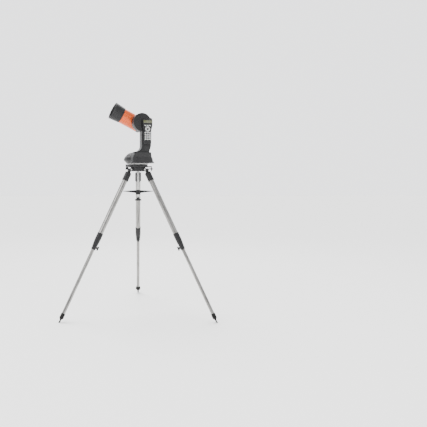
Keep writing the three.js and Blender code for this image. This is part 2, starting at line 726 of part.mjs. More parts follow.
// The base's outside form, or with an inset its inside, which then runs out through the bottom.
function tubForm(inset) {
  const bottom = inset ? SHELL_BOTTOM - 5 : SHELL_BOTTOM;
  return turned(
    [
      [0, bottom],
      [TUB_FOOT_RADIUS - inset, bottom],
      [TUB_FOOT_RADIUS - inset, SHELL_BOTTOM + 1],
      [TUB_RADIUS - 3 - inset, TUB_WIDEST_Z - 10],
      [TUB_RADIUS - inset, TUB_WIDEST_Z],
      [TUB_RADIUS - 5 - inset, TUB_WIDEST_Z + 13],
      [TUB_TOP_RADIUS + 24 - inset, SHELL_TOP - 13],
      [TUB_TOP_RADIUS + 10 - inset, SHELL_TOP - 3 - inset],
      [TUB_TOP_RADIUS - inset, SHELL_TOP - inset],
      [0, SHELL_TOP - inset],
    ],
    28,
  ).translate(TUB_CENTRE_X, 0, 0);
}

const TAIL_BOTTOM = SHELL_BOTTOM + 5;
const TAIL_REACH = 127; // to the tail's tip, from the tripod's axis

function tailForm(inset) {
  const bottom = inset ? SHELL_BOTTOM - 5 : TAIL_BOTTOM;
  const tip = TAIL_REACH - 1.8 * inset;
  const side = polygon([
    [20, bottom],
    [tip, bottom],
    [tip - 4, TAIL_BOTTOM + 6],
    [78 - inset, SHELL_TOP - 14 - inset],
    [56, SHELL_TOP - 3 - inset],
    [20, SHELL_TOP - 1 - inset],
  ]);
  const top = new THREE.Shape();
  top.moveTo(20, -86 + inset);
  top.quadraticCurveTo(tip - 12, -76 + inset, tip, -24 + inset);
  top.quadraticCurveTo(tip + 3, 0, tip, 24 - inset);
  top.quadraticCurveTo(tip - 12, 76 - inset, 20, 86 - inset);
  return common(panel(side, -100, 100), slab(top, 1100, 1300, 8));
}

function armRootForm(inset) {
  const bottom = inset ? SHELL_BOTTOM - 5 : TAIL_BOTTOM;
  const front = polygon([
    [-80 + inset, bottom],
    [88 - inset, bottom],
    [84 - inset, TUB_WIDEST_Z - 1],
    [ARM_ROOT_RIGHT + 12 - inset, SHELL_TOP - inset],
    [ARM_ROOT_LEFT - 6 + inset, SHELL_TOP - inset],
    [-78 + inset, TUB_WIDEST_Z + 9],
  ]);
  const outline = roundedRectangle(-82 + inset, ARM_OUTER_Y - 5 + inset, 90 - inset, 20, 42 - inset);
  return common(panel(front, -200, 60), slab(outline, 1100, 1300, 8));
}

function baseForm(inset) {
  return join(tubForm(inset), tailForm(inset), armRootForm(inset));
}

function baseShell() {
  const lidHole = bar(BATTERY_LID_RADIUS + GAP, 1200, 1300, 28).translate(TUB_CENTRE_X, BATTERY_LID_Y, 0);
  const halfSlot = SWITCH_WIDTH / 2 + GAP;
  const switchSlot = boxBetween(
    [-halfSlot, 90, SWITCH_Z - SWITCH_HEIGHT / 2 - GAP],
    [halfSlot + SWITCH_TRAVEL, 130, SWITCH_Z + SWITCH_HEIGHT / 2 + GAP],
  );
  return cut(baseForm(0), baseForm(SHELL_WALL), lidHole, switchSlot);
}

function batteryCover() {
  const lid = turned(
    [
      [0, SHELL_TOP - 5],
      [BATTERY_LID_RADIUS - 2, SHELL_TOP - 5],
      [BATTERY_LID_RADIUS, SHELL_TOP - 4],
      [BATTERY_LID_RADIUS, SHELL_TOP],
      [BATTERY_LID_RADIUS - 3, SHELL_TOP + 1.5],
      [0, SHELL_TOP + 2],
    ],
    28,
  );
  const tab = boxBetween([-10, 22, SHELL_TOP], [10, 27, SHELL_TOP + 6]);
  return join(lid, tab).translate(TUB_CENTRE_X, BATTERY_LID_Y, 0);
}

function powerSwitch() {
  return boxBetween(
    [-SWITCH_WIDTH / 2, 100, SWITCH_Z - SWITCH_HEIGHT / 2],
    [SWITCH_WIDTH / 2, 112, SWITCH_Z + SWITCH_HEIGHT / 2],
  );
}

// ---------- Arm ----------
const ARM_BOTTOM = SHELL_TOP + GAP;

function armOutline(inset) {
  const left = ARM_LEFT + inset;
  const right = ARM_RIGHT - inset;
  const bottom = ARM_BOTTOM + inset;
  const radius = ARM_HEAD_RADIUS - inset;
  const offset = left - AXIS_X;
  const meet = -Math.sqrt(radius * radius - offset * offset);
  const flareTop = ARM_BOTTOM + ARM_FLARE_HEIGHT;
  const shape = new THREE.Shape();
  shape.moveTo(ARM_ROOT_LEFT + inset, bottom);
  shape.quadraticCurveTo(left, bottom + 6, left, flareTop);
  shape.lineTo(left, AXIS_HEIGHT + meet);
  shape.absarc(AXIS_X, AXIS_HEIGHT, radius, Math.atan2(meet, offset), 0, true);
  shape.lineTo(right, flareTop);
  shape.lineTo(ARM_ROOT_RIGHT - inset, bottom);
  return shape;
}

function armInnerShell() {
  const whole = panel(armOutline(0), ARM_SPLIT_Y, ARM_INNER_Y, 12);
  const hollow = panel(armOutline(ARM_WALL), ARM_SPLIT_Y - 1, ARM_INNER_Y - ARM_WALL, 12);
  const shaftHole = barAlongY(ALTITUDE_SHAFT_RADIUS + GAP, -90, -60, AXIS_X, AXIS_HEIGHT);
  return cut(whole, hollow, shaftHole);
}

const COVER_WALL = ARM_WALL + CONTROL_RECESS;

function armOuterCover() {
  const start = ARM_SPLIT_Y - GAP;
  const whole = panel(armOutline(0), ARM_OUTER_Y, start, 12);
  const hollow = panel(armOutline(ARM_WALL), ARM_OUTER_Y + COVER_WALL, start + 1, 12);
  const recess = panel(controlOutline(-0.5), ARM_OUTER_Y - 1, ARM_OUTER_Y + CONTROL_RECESS);
  return cut(whole, hollow, recess);
}

const ALTITUDE_CENTRES = ((ALTITUDE_TEETH + PINION_TEETH) * GEAR_MODULE) / 2;
const ALTITUDE_GEAR_Y = ARM_INNER_Y - ARM_WALL - 6;

// Gears in the arm are drawn flat, then stood up so that their axis lies along Y.
function altitudeWheel() {
  const outline = gearOutline(ALTITUDE_TEETH, ALTITUDE_PINION_ANGLE * DEGREE);
  const wheel = panel(outline, ALTITUDE_GEAR_Y - ALTITUDE_GEAR_THICKNESS, ALTITUDE_GEAR_Y);
  const bore = barAlongY(8 + GAP, -200, 0, 0, 0);
  return cut(wheel, bore).translate(AXIS_X, 0, AXIS_HEIGHT);
}

function altitudePinion() {
  const angle = ALTITUDE_PINION_ANGLE * DEGREE;
  return pinion(angle)
    .rotateX(Math.PI / 2)
    .translate(
      AXIS_X + ALTITUDE_CENTRES * Math.cos(angle),
      ALTITUDE_GEAR_Y,
      AXIS_HEIGHT + ALTITUDE_CENTRES * Math.sin(angle),
    );
}

function altitudeMotor() {
  const angle = ALTITUDE_PINION_ANGLE * DEGREE;
  const x = AXIS_X + ALTITUDE_CENTRES * Math.cos(angle);
  const z = AXIS_HEIGHT + ALTITUDE_CENTRES * Math.sin(angle);
  const front = ALTITUDE_GEAR_Y - ALTITUDE_GEAR_THICKNESS - 3;
  const shaft = barAlongY(PINION_SHAFT_RADIUS, front - 1, ALTITUDE_GEAR_Y, x, z, 8);
  const can = barAlongY(MOTOR_RADIUS, front - 26, front, x, z);
  const gearbox = boxBetween([x - 16, front - 26, z - 44], [x + 16, front - 4, z - 10]);
  return join(shaft, can, gearbox);
}

function altitudeSaddle() {
  const inner = -TUBE_RADIUS - GAP;
  const plateBack = inner - SADDLE_THICKNESS;
  const cradle = boxBetween(
    [-SADDLE_LENGTH / 2, ARM_INNER_Y + 1.2, -SADDLE_WIDTH / 2],
    [SADDLE_LENGTH / 2, inner + 8, SADDLE_WIDTH / 2],
  );
  const tubeSpace = barAlongX(TUBE_RADIUS + GAP, -200, 200, 0, 0, 48);
  const shaft = barAlongY(ALTITUDE_SHAFT_RADIUS, ALTITUDE_GEAR_Y + GAP, plateBack, 0, 0);
  const spigot = barAlongY(8, ALTITUDE_GEAR_Y - ALTITUDE_GEAR_THICKNESS - 1, ALTITUDE_GEAR_Y + 2, 0, 0);
  return join(cut(cradle, tubeSpace), shaft, spigot);
}

// ---------- Hand control ----------
function controlOutline(inset) {
  const half = (width) => width / 2 - inset;
  const bottom = CONTROL_BOTTOM + inset;
  const top = CONTROL_TOP - inset;
  const shape = new THREE.Shape();
  const left = (width) => CONTROL_X - half(width);
  const right = (width) => CONTROL_X + half(width);
  shape.moveTo(left(CONTROL_BOTTOM_WIDTH) + 12, bottom);
  shape.lineTo(right(CONTROL_BOTTOM_WIDTH) - 12, bottom);
  shape.quadraticCurveTo(right(CONTROL_BOTTOM_WIDTH), bottom, right(CONTROL_BOTTOM_WIDTH), bottom + 16);
  shape.lineTo(right(CONTROL_BOTTOM_WIDTH), CONTROL_WAIST);
  shape.lineTo(right(CONTROL_TOP_WIDTH), CONTROL_SHOULDER);
  shape.lineTo(right(CONTROL_TOP_WIDTH), top - 14);
  shape.quadraticCurveTo(right(CONTROL_TOP_WIDTH), top - 3, right(CONTROL_TOP_WIDTH) - 14, top - 2);
  shape.quadraticCurveTo(CONTROL_X, top + 2, left(CONTROL_TOP_WIDTH) + 14, top - 2);
  shape.quadraticCurveTo(left(CONTROL_TOP_WIDTH), top - 3, left(CONTROL_TOP_WIDTH), top - 14);
  shape.lineTo(left(CONTROL_TOP_WIDTH), CONTROL_SHOULDER);
  shape.lineTo(left(CONTROL_BOTTOM_WIDTH), CONTROL_WAIST);
  shape.lineTo(left(CONTROL_BOTTOM_WIDTH), bottom + 16);
  shape.quadraticCurveTo(left(CONTROL_BOTTOM_WIDTH), bottom, left(CONTROL_BOTTOM_WIDTH) + 12, bottom);
  return shape;
}

const CONTROL_BACK_Y = ARM_OUTER_Y + CONTROL_RECESS - GAP;
const CONTROL_FACE_Y = CONTROL_BACK_Y - CONTROL_THICKNESS;
const KEYPAD_WIDTH = KEYPAD_PITCH_X * KEYPAD_COLUMNS;
const KEYPAD_HEIGHT = KEYPAD_PITCH_Z * KEYPAD_ROWS;
const KEYPAD_SHEET = 1.5;

// A rounded key or pocket on the control's face, between two depths.
function keyBlock(x, z, width, height, y0, y1) {
  const shape = roundedRectangle(x - width / 2, z - height / 2, x + width / 2, z + height / 2, height * 0.35);
  return panel(shape, y0, y1, 1);
}

const MENU_KEYS = ["key_align", "key_enter", "key_undo"].map((name, i) => ({
  name,
  x: CONTROL_X + (i - 1) * MENU_KEY_PITCH,
  z: MENU_KEY_Z,
}));
const ARROW_KEYS = [
  { name: "arrow_up", x: CONTROL_X, z: ARROW_Z + ARROW_REACH * 0.85 },
  { name: "arrow_down", x: CONTROL_X, z: ARROW_Z - ARROW_REACH * 0.85 },
  { name: "arrow_left", x: CONTROL_X - ARROW_REACH - 2, z: ARROW_Z },
  { name: "arrow_right", x: CONTROL_X + ARROW_REACH + 2, z: ARROW_Z },
];
const SINGLE_KEYS = [...MENU_KEYS, ...ARROW_KEYS];

function handControlCase() {
  let body = panel(controlOutline(0), CONTROL_FACE_Y, CONTROL_BACK_Y);
  for (const { x, z } of SINGLE_KEYS) {
    const pocketEnd = CONTROL_FACE_Y + KEY_DEPTH - KEY_PROUD + KEY_TRAVEL + GAP;
    const pocket = keyBlock(x, z, KEY_WIDTH + 2 * GAP, KEY_HEIGHT + 2 * GAP, CONTROL_FACE_Y - 1, pocketEnd);
    body = cut(body, pocket);
  }
  const display = boxBetween(
    [CONTROL_X - DISPLAY_WIDTH / 2 - GAP, CONTROL_FACE_Y - 1, DISPLAY_Z - DISPLAY_HEIGHT / 2 - GAP],
    [CONTROL_X + DISPLAY_WIDTH / 2 + GAP, CONTROL_FACE_Y + 2, DISPLAY_Z + DISPLAY_HEIGHT / 2 + GAP],
  );
  const padHalfWidth = KEYPAD_WIDTH / 2 + GAP;
  const padHalfHeight = KEYPAD_HEIGHT / 2 + GAP;
  const keypad = boxBetween(
    [CONTROL_X - padHalfWidth, CONTROL_FACE_Y - 1, KEYPAD_Z - padHalfHeight],
    [CONTROL_X + padHalfWidth, CONTROL_FACE_Y + KEYPAD_SHEET + GAP, KEYPAD_Z + padHalfHeight],
  );
  return cut(body, display, keypad);
}

function displayWindow() {
  return boxBetween(
    [CONTROL_X - DISPLAY_WIDTH / 2, CONTROL_FACE_Y + 0.2, DISPLAY_Z - DISPLAY_HEIGHT / 2],
    [CONTROL_X + DISPLAY_WIDTH / 2, CONTROL_FACE_Y + 2 - GAP, DISPLAY_Z + DISPLAY_HEIGHT / 2],
  );
}

function singleKey({ name, x, z }) {
  const start = CONTROL_FACE_Y - KEY_PROUD;
  return node(name, keyBlock(x, z, KEY_WIDTH, KEY_HEIGHT, start, start + KEY_DEPTH), whiteRubber);
}

function numberKeypad() {
  let body = boxBetween(
    [CONTROL_X - KEYPAD_WIDTH / 2, CONTROL_FACE_Y, KEYPAD_Z - KEYPAD_HEIGHT / 2],
    [CONTROL_X + KEYPAD_WIDTH / 2, CONTROL_FACE_Y + KEYPAD_SHEET, KEYPAD_Z + KEYPAD_HEIGHT / 2],
  );
  for (let column = 0; column < KEYPAD_COLUMNS; column++)
    for (let row = 0; row < KEYPAD_ROWS; row++) {
      const x = CONTROL_X + (column - (KEYPAD_COLUMNS - 1) / 2) * KEYPAD_PITCH_X;
      const z = KEYPAD_Z + (row - (KEYPAD_ROWS - 1) / 2) * KEYPAD_PITCH_Z;
      const key = keyBlock(x, z, KEY_WIDTH, KEY_HEIGHT + 1, CONTROL_FACE_Y - KEY_PROUD, CONTROL_FACE_Y + 0.5);
      body = join(body, key);
    }
  return body;
}

function handControl() {
  return group(
    node("hand_control_case", handControlCase(), blackPlastic),
    node("lcd_window", displayWindow(), displayGlass),
    ...SINGLE_KEYS.map(singleKey),
    node("number_keypad", numberKeypad(), whiteRubber),
  );
}

function turningBase() {
  return group(
    node("base_floor", baseFloor(), darkCasting),
    node("base_shell", baseShell(), blackPlastic),
    node("battery_cover", batteryCover(), blackPlastic),
    node("azimuth_motor", azimuthMotor(), steel),
    node("azimuth_pinion", azimuthPinion(), brass),
    node("power_switch", powerSwitch(), rubber),
    node("arm_inner_shell", armInnerShell(), blackPlastic),
    node("arm_outer_cover", armOuterCover(), blackPlastic),
    node("altitude_motor", altitudeMotor(), steel),
    node("altitude_pinion", altitudePinion(), brass),
    node("altitude_gear", altitudeWheel(), brass),
    handControl(),
    telescope(),
  );
}

// ---------- Telescope ----------
// Drawn with the altitude axis at the origin and its sky end along +Z.
function frontCell() {
  const start = TUBE_FRONT + GAP;
  const end = start + FRONT_CELL_LENGTH;
  return turned(
    [
      [LENS_RADIUS - 4, start],
      [TUBE_RADIUS, start],
      [TUBE_RADIUS + 2, start + 3],
      [TUBE_RADIUS + 3, start + 20],
      [FRONT_CELL_RADIUS - 1, end - 6],
      [FRONT_CELL_RADIUS, end - 3],
      [FRONT_CELL_RADIUS - 1, end],
      [FRONT_CELL_RADIUS - FRONT_CELL_WALL, end],
      [TUBE_RADIUS - 4, start + 20],
      [LENS_RADIUS + GAP, start + 16],
      [LENS_RADIUS + GAP, start + 8],
      [LENS_RADIUS - 4, start + 8],
    ],
    28,
  );
}

function correctorLens() {
  const start = TUBE_FRONT + 8 + 2 * GAP;
  return bar(LENS_RADIUS, start, start + LENS_THICKNESS, 28);
}

function primaryMirror() {
  const back = TUBE_BACK + 4;
  return turned(
    [
      [LIGHT_PATH_RADIUS, back],
      [MIRROR_RADIUS, back],
      [MIRROR_RADIUS, back + MIRROR_THICKNESS],
      [MIRROR_RADIUS * 0.6, back + MIRROR_THICKNESS - 3],
      [LIGHT_PATH_RADIUS, back + MIRROR_THICKNESS - 4],
    ],
    28,
  );
}

// The eyepiece holder's place: at EYEPIECE_BACK on the tube's axis, square to it but for its lean.
function placeAtEyepiece(geometry) {
  return geometry.rotateY(90 * DEGREE - EYEPIECE_LEAN * DEGREE).translate(0, 0, EYEPIECE_BACK);
}

function rearCell() {
  const body = turned(
    [
      [0, REAR_CELL_BACK],
      [PORT_RADIUS, REAR_CELL_BACK],
      [PORT_RADIUS, REAR_CELL_BACK + PORT_LENGTH],
      [REAR_HOUSING_RADIUS, REAR_CELL_BACK + PORT_LENGTH],
      [REAR_HOUSING_RADIUS, REAR_TAPER_END],
      [TUBE_RADIUS - 2, REAR_TAPER_START],
      [TUBE_RADIUS, REAR_TAPER_START + 4],
      [TUBE_RADIUS, TUBE_BACK - GAP],
      [0, TUBE_BACK - GAP],
    ],
    28,
  );
  const holder = placeAtEyepiece(bar(EYEPIECE_BARREL_RADIUS + 4, 0, HOLDER_HEIGHT, 20));
  const holderBore = placeAtEyepiece(bar(EYEPIECE_BARREL_RADIUS + GAP, 0, HOLDER_HEIGHT + 10, 20));
  const lightPath = bar(LIGHT_PATH_RADIUS, REAR_CELL_BACK - 1, 0, 20);
  const hollow = turned(
    [
      [LIGHT_PATH_RADIUS - 2, REAR_TAPER_START + 2],
      [TUBE_RADIUS - 5, REAR_TAPER_START + 2],
      [TUBE_RADIUS - 5, 0],
      [LIGHT_PATH_RADIUS - 2, 0],
    ],
    28,
  );
  const focusHole = bar(FOCUS_SHAFT_RADIUS + GAP, REAR_CELL_BACK - 40, REAR_TAPER_START + 10, 12);
  focusHole.translate(-FOCUS_KNOB_DROP, 0, 0);
  const focusBoss = bar(FOCUS_KNOB_RADIUS + 3, REAR_CELL_BACK + PORT_LENGTH, REAR_TAPER_START);
  focusBoss.translate(-FOCUS_KNOB_DROP, 0, 0);
  return cut(join(body, holder, focusBoss), lightPath, holderBore, hollow, focusHole);
}

function focusKnob() {
  const front = REAR_CELL_BACK + PORT_LENGTH - GAP;
  const knob = bar(FOCUS_KNOB_RADIUS, front - FOCUS_KNOB_LENGTH, front, 20);
  const shaft = bar(FOCUS_SHAFT_RADIUS, front - 2, REAR_TAPER_START + 6, 12);
  return join(knob, shaft).translate(-FOCUS_KNOB_DROP, 0, 0);
}

function eyepiece() {
  const top = HOLDER_HEIGHT + GAP;
  const end = top + EYEPIECE_LENGTH;
  const body = turned(
    [
      [EYEPIECE_BARREL_RADIUS - 3, top - 20],
      [EYEPIECE_BARREL_RADIUS, top - 20],
      [EYEPIECE_BARREL_RADIUS, top],
      [EYEPIECE_RADIUS, top],
      [EYEPIECE_RADIUS, top + 24],
      [EYEPIECE_EYECUP_RADIUS - 1, top + 30],
      [EYEPIECE_EYECUP_RADIUS, end],
      [EYEPIECE_EYECUP_RADIUS - 4, end],
      [EYEPIECE_BARREL_RADIUS - 5, end - 8],
      [EYEPIECE_BARREL_RADIUS - 5, top - 8],
      [EYEPIECE_BARREL_RADIUS - 3, top - 8],
    ],
    20,
  );
  return placeAtEyepiece(body);
}

function telescope() {
  const saddle = node("altitude_saddle", altitudeSaddle(), darkCasting);
  saddle.rotation.y = TUBE_ELEVATION * DEGREE;
  const optics = group(
    node("optical_tube", tube(TUBE_RADIUS, TUBE_RADIUS - TUBE_WALL, TUBE_BACK, TUBE_FRONT, 28), orangePaint),
    node("front_cell", frontCell(), blackPlastic),
    node("corrector_lens", correctorLens(), glass),
    node("primary_mirror", primaryMirror(), brightMetal),
    node("rear_cell", rearCell(), blackPlastic),
    node("focus_knob", focusKnob(), blackPlastic),
    node("eyepiece", eyepiece(), blackPlastic),
  );
  optics.rotation.y = (TUBE_ELEVATION - 90) * DEGREE;
  const whole = group(saddle, optics);
  whole.position.set(AXIS_X, 0, AXIS_HEIGHT);
  return whole;
}

function mount() {
  const turning = turningBase();
  turning.rotation.z = AZIMUTH_AT_REST * DEGREE;
  return group(
    node("base_plate", basePlate(), darkCasting),
    node("azimuth_gear_plate", azimuthGearPlate(), brightMetal),
    turning,
  );
}

// ---------- The whole instrument ----------
const model = group(tripod(), wedge(), mount());
const bounds = new THREE.Box3().setFromObject(model, true);
const middle = bounds.getCenter(new THREE.Vector3());
model.position.set(-middle.x, -middle.y, -bounds.min.z);

export default group(model);
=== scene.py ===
"""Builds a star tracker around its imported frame: a motorised single-arm mount, its tube and its tripod.

Everything is in metres, in the frame's own axes: +Z up, the ground at Z = 0.
"""

import json
import math

import bpy
import bmesh
from mathutils import Matrix, Vector


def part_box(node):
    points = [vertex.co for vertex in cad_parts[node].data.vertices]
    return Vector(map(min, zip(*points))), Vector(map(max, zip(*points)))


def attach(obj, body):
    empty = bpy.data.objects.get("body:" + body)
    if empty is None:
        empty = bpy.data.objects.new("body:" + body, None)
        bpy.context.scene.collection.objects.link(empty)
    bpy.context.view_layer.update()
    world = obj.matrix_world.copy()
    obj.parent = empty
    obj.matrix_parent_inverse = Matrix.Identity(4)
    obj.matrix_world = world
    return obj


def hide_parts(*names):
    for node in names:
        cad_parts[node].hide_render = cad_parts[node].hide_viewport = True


bl_info = {
    "name": "Star tracker",
    "version": (1, 0, 0),
    "blender": (4, 5, 0),
    "location": "View3D > Sidebar > Star tracker",
    "description": "Models a motorised star tracker with its tube, hand control and tripod",
    "category": "Add Mesh",
}

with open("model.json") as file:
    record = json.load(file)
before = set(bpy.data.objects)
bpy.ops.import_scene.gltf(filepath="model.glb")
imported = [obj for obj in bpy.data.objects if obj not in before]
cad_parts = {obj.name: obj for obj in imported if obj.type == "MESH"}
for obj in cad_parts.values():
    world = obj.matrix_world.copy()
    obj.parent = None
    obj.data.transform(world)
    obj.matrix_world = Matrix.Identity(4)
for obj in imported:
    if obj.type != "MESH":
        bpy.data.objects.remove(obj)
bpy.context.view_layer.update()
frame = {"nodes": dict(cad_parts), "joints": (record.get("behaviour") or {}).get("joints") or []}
JOINTS = {joint["name"]: joint for joint in frame["joints"]}
MM = 0.001
UP = Vector((0, 0, 1))


# ---------- Places, all read from the frame ----------
def joint_axis(name):
    return Vector(JOINTS[name]["axis"]).normalized()


def joint_place(name):
    return Vector(JOINTS[name]["pos_m"])


def axes_at(origin, along_x, along_y, along_z):
    """The matrix that puts a piece drawn about the world's origin onto these axes."""
    turn = Matrix((along_x, along_y, along_z)).transposed().to_4x4()
    return Matrix.Translation(origin) @ turn


def leg_axes(number):
    """A leg's own axes: its hinge is the origin, +Z runs up the leg and +X is its outer side."""
    across = joint_axis(f"leg_fold_{number}")
    along = joint_axis(f"leg_slide_{number}")
    outward = across.cross(along)
    return axes_at(joint_place(f"leg_fold_{number}"), outward, across, along)


def tripod_axes():
    """The tripod's centre line, with the ground as its origin."""
    centre = joint_place("brace_turn")
    return Matrix.Translation((centre.x, centre.y, 0))


def mount_axes():
    """The turned mount's axes: the arm stands on its -Y side and the tube points to -X."""
    across = joint_axis("altitude_turn")
    return axes_at(tripod_axes().translation, across.cross(UP), across, UP)


def tube_axes():
    """The telescope's axes: the altitude axis is the origin, +Z looks at the sky and +X is up."""
    across = joint_axis("altitude_turn")
    along = joint_axis("focus_knob_turn")
    pivot = joint_place("altitude_turn")
    centre = mount_axes().inverted() @ pivot
    centre.y = 0
    return axes_at(mount_axes() @ centre, across.cross(along), across, along)


def height_of(node, top=True):
    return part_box(node)[1 if top else 0].z


# ---------- Modelling, as by hand ----------
def deselect():
    active = bpy.context.view_layer.objects.active
    if active and active.mode != "OBJECT":
        bpy.ops.object.mode_set(mode="OBJECT")
    bpy.ops.object.select_all(action="DESELECT")


def activate(piece):
    deselect()
    piece.select_set(True)
    bpy.context.view_layer.objects.active = piece


def first_point(name, place):
    """A mesh of one point, left in edit mode with that point selected."""
    deselect()
    bpy.ops.mesh.primitive_plane_add(size=0.01)
    piece = bpy.context.object
    piece.name = name
    piece.data.name = name
    bpy.ops.object.mode_set(mode="EDIT")
    bpy.ops.mesh.select_mode(type="VERT")
    bpy.ops.mesh.select_all(action="SELECT")
    bpy.ops.mesh.merge(type="CENTER")
    bpy.ops.transform.translate(value=place)
    return piece


def draw_to(points):
    """Extrudes the selected point from place to place."""
    for before, after in zip(points, points[1:]):
        step = tuple(end - start for start, end in zip(before, after))
        bpy.ops.mesh.extrude_vertices_move(TRANSFORM_OT_translate={"value": step})


def close_mesh():
    bpy.ops.mesh.select_all(action="SELECT")
    bpy.ops.mesh.remove_doubles(threshold=2e-6)
    bpy.ops.mesh.normals_make_consistent(inside=False)
    bpy.ops.object.mode_set(mode="OBJECT")


def turned(name, profile, sides=72):
    """A profile of (radius, height) in millimetres, turned about Z. It is spun from a drawn line."""
    points = [(radius * MM, 0, height * MM) for radius, height in profile]
    if profile[0][0] > 0 or profile[-1][0] > 0:
        points.append(points[0])
    piece = first_point(name, points[0])
    draw_to(points)
    bpy.ops.mesh.select_all(action="SELECT")
    bpy.ops.mesh.spin(steps=sides, angle=math.tau, center=(0, 0, 0), axis=(0, 0, 1))
    close_mesh()
    return piece


def rod(name, radius, low, high, sides=48):
    return turned(name, [(0, low), (radius, low), (radius, high), (0, high)], sides)


def cut_out(name, outline, low, high):
    """A flat outline in X and Y, in millimetres, filled and extruded from one height to another."""
    points = [(x * MM, y * MM, low * MM) for x, y in outline]
    points.append(points[0])
    piece = first_point(name, points[0])
    draw_to(points)
    bpy.ops.mesh.select_all(action="SELECT")
    bpy.ops.mesh.remove_doubles(threshold=2e-6)
    bpy.ops.mesh.edge_face_add()
    bpy.ops.mesh.extrude_region_move(TRANSFORM_OT_translate={"value": (0, 0, (high - low) * MM)})
    close_mesh()
    return piece


def standing(name, outline, near, far):
    """A flat outline in X and Z, in millimetres, thick along Y from near to far."""
    piece = cut_out(name, outline, -far, -near)
    return placed(piece, Matrix.Rotation(math.pi / 2, 4, "X"))


def block(name, low, high):
    """A box by its lowest and highest corners, in millimetres."""
    outline = [(low[0], low[1]), (high[0], low[1]), (high[0], high[1]), (low[0], high[1])]
    return cut_out(name, outline, low[2], high[2])


def arc(centre_x, centre_y, radius, start, end, steps=8):
    """Points on an arc, by its start and end in degrees."""
    angles = [math.radians(start + (end - start) * i / steps) for i in range(steps + 1)]
    return [(centre_x + radius * math.cos(a), centre_y + radius * math.sin(a)) for a in angles]


def curve(start, control, end, steps=8):
    """Points on a curve that leaves start towards control and comes into end from it."""
    points = []
    for i in range(steps + 1):
        t = i / steps
        weights = ((1 - t) ** 2, 2 * t * (1 - t), t * t)
        points.append(tuple(sum(w * p[k] for w, p in zip(weights, (start, control, end))) for k in (0, 1)))
    return points


def round_box(x0, y0, x1, y1, radius, steps=6):
    """A rectangle's outline with round corners."""
    points = arc(x1 - radius, y0 + radius, radius, -90, 0, steps)
    points += arc(x1 - radius, y1 - radius, radius, 0, 90, steps)
    points += arc(x0 + radius, y1 - radius, radius, 90, 180, steps)
    points += arc(x0 + radius, y0 + radius, radius, 180, 270, steps)
    return points


def placed(piece, place):
    """Puts a piece at a place and leaves its object at the origin."""
    activate(piece)
    piece.matrix_world = place
    bpy.ops.object.transform_apply(location=True, rotation=True, scale=True)
    return piece


def moved(piece, x=0, y=0, z=0):
    return placed(piece, Matrix.Translation((x * MM, y * MM, z * MM)))


def remember_own_axes(piece):
    """Keeps each point's place in the piece's own axes, for finishes that follow its length."""
    own = piece.data.attributes.new("own_place", "FLOAT_VECTOR", "POINT")
    for vertex in piece.data.vertices:
        own.data[vertex.index].vector = vertex.co
    return piece


def with_modifier(piece, kind, **settings):
    activate(piece)
    modifier = piece.modifiers.new(kind.title(), kind)
    for setting, value in settings.items():
        setattr(modifier, setting, value)
    bpy.ops.object.modifier_apply(modifier=modifier.name)
    return piece


def softened(piece, width, segments=2, sharp=32):
    """Rounds the edges that are sharper than an angle in degrees, and shades what is left smooth."""
    with_modifier(
        piece,
        "BEVEL",
        width=width * MM,
        segments=segments,
        limit_method="ANGLE",
        angle_limit=math.radians(sharp),
        use_clamp_overlap=True,
    )
    return smooth(piece)


def smooth(piece, angle=35):
    activate(piece)
    bpy.ops.object.shade_smooth_by_angle(angle=math.radians(angle))
    return piece


def combined(piece, tool, operation):
    """Joins or cuts a piece with a tool, which is used up."""
    with_modifier(piece, "BOOLEAN", object=tool, operation=operation, solver="EXACT")
    bpy.data.objects.remove(tool)
    return piece


def joined(piece, *tools):
    for tool in tools:
        combined(piece, tool, "UNION")
    return piece


def hollowed(piece, *tools):
    for tool in tools:
        combined(piece, tool, "DIFFERENCE")
    return piece


def merged(name, pieces):
    """Makes one object of several that belong together."""
    first = pieces[0]
    activate(first)
    for piece in pieces:
        piece.select_set(True)
    with bpy.context.temp_override(active_object=first, selected_editable_objects=pieces):
        bpy.ops.object.join()
    first.name = first.data.name = name
    return first


def copied(piece, name):
    twin = piece.copy()
    twin.data = piece.data.copy()
    twin.name = name
    twin.data.name = name
    bpy.context.scene.collection.objects.link(twin)
    return twin


def softened_node(node, name, width, segments=2):
    """A copy of a frame node with its flat faces made whole and its sharp edges rounded."""
    piece = bpy.data.objects.new(name, frame["nodes"][node].data.copy())
    bpy.context.scene.collection.objects.link(piece)
    piece.data.materials.clear()
    activate(piece)
    bpy.ops.object.mode_set(mode="EDIT")
    bpy.ops.mesh.select_all(action="SELECT")
    bpy.ops.mesh.remove_doubles(threshold=1e-5)
    bpy.ops.mesh.dissolve_limited(angle_limit=math.radians(0.6))
    bpy.ops.mesh.mark_sharp(clear=True)
    bpy.ops.object.mode_set(mode="OBJECT")
    return softened(piece, width, segments)


def handed_over(piece, body, slot, *nodes):
    """Gives a finished piece its finish, its body and the frame nodes that it stands for."""
    piece.data.materials.clear()
    piece.data.materials.append(finish_for(slot))
    for polygon in piece.data.polygons:
        polygon.material_index = 0
    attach(piece, body)
    if nodes:
        piece.name = piece.data.name = f"finished_{nodes[0]}"
        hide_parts(*nodes)
    return piece


def handed_over_at(axes, *rows):
    """Puts pieces drawn about some axes in place. A row is a piece, its body, its slot and its nodes."""
    for piece, body, slot, *nodes in rows:
        handed_over(smooth(placed(piece, axes)), body, slot, *nodes)


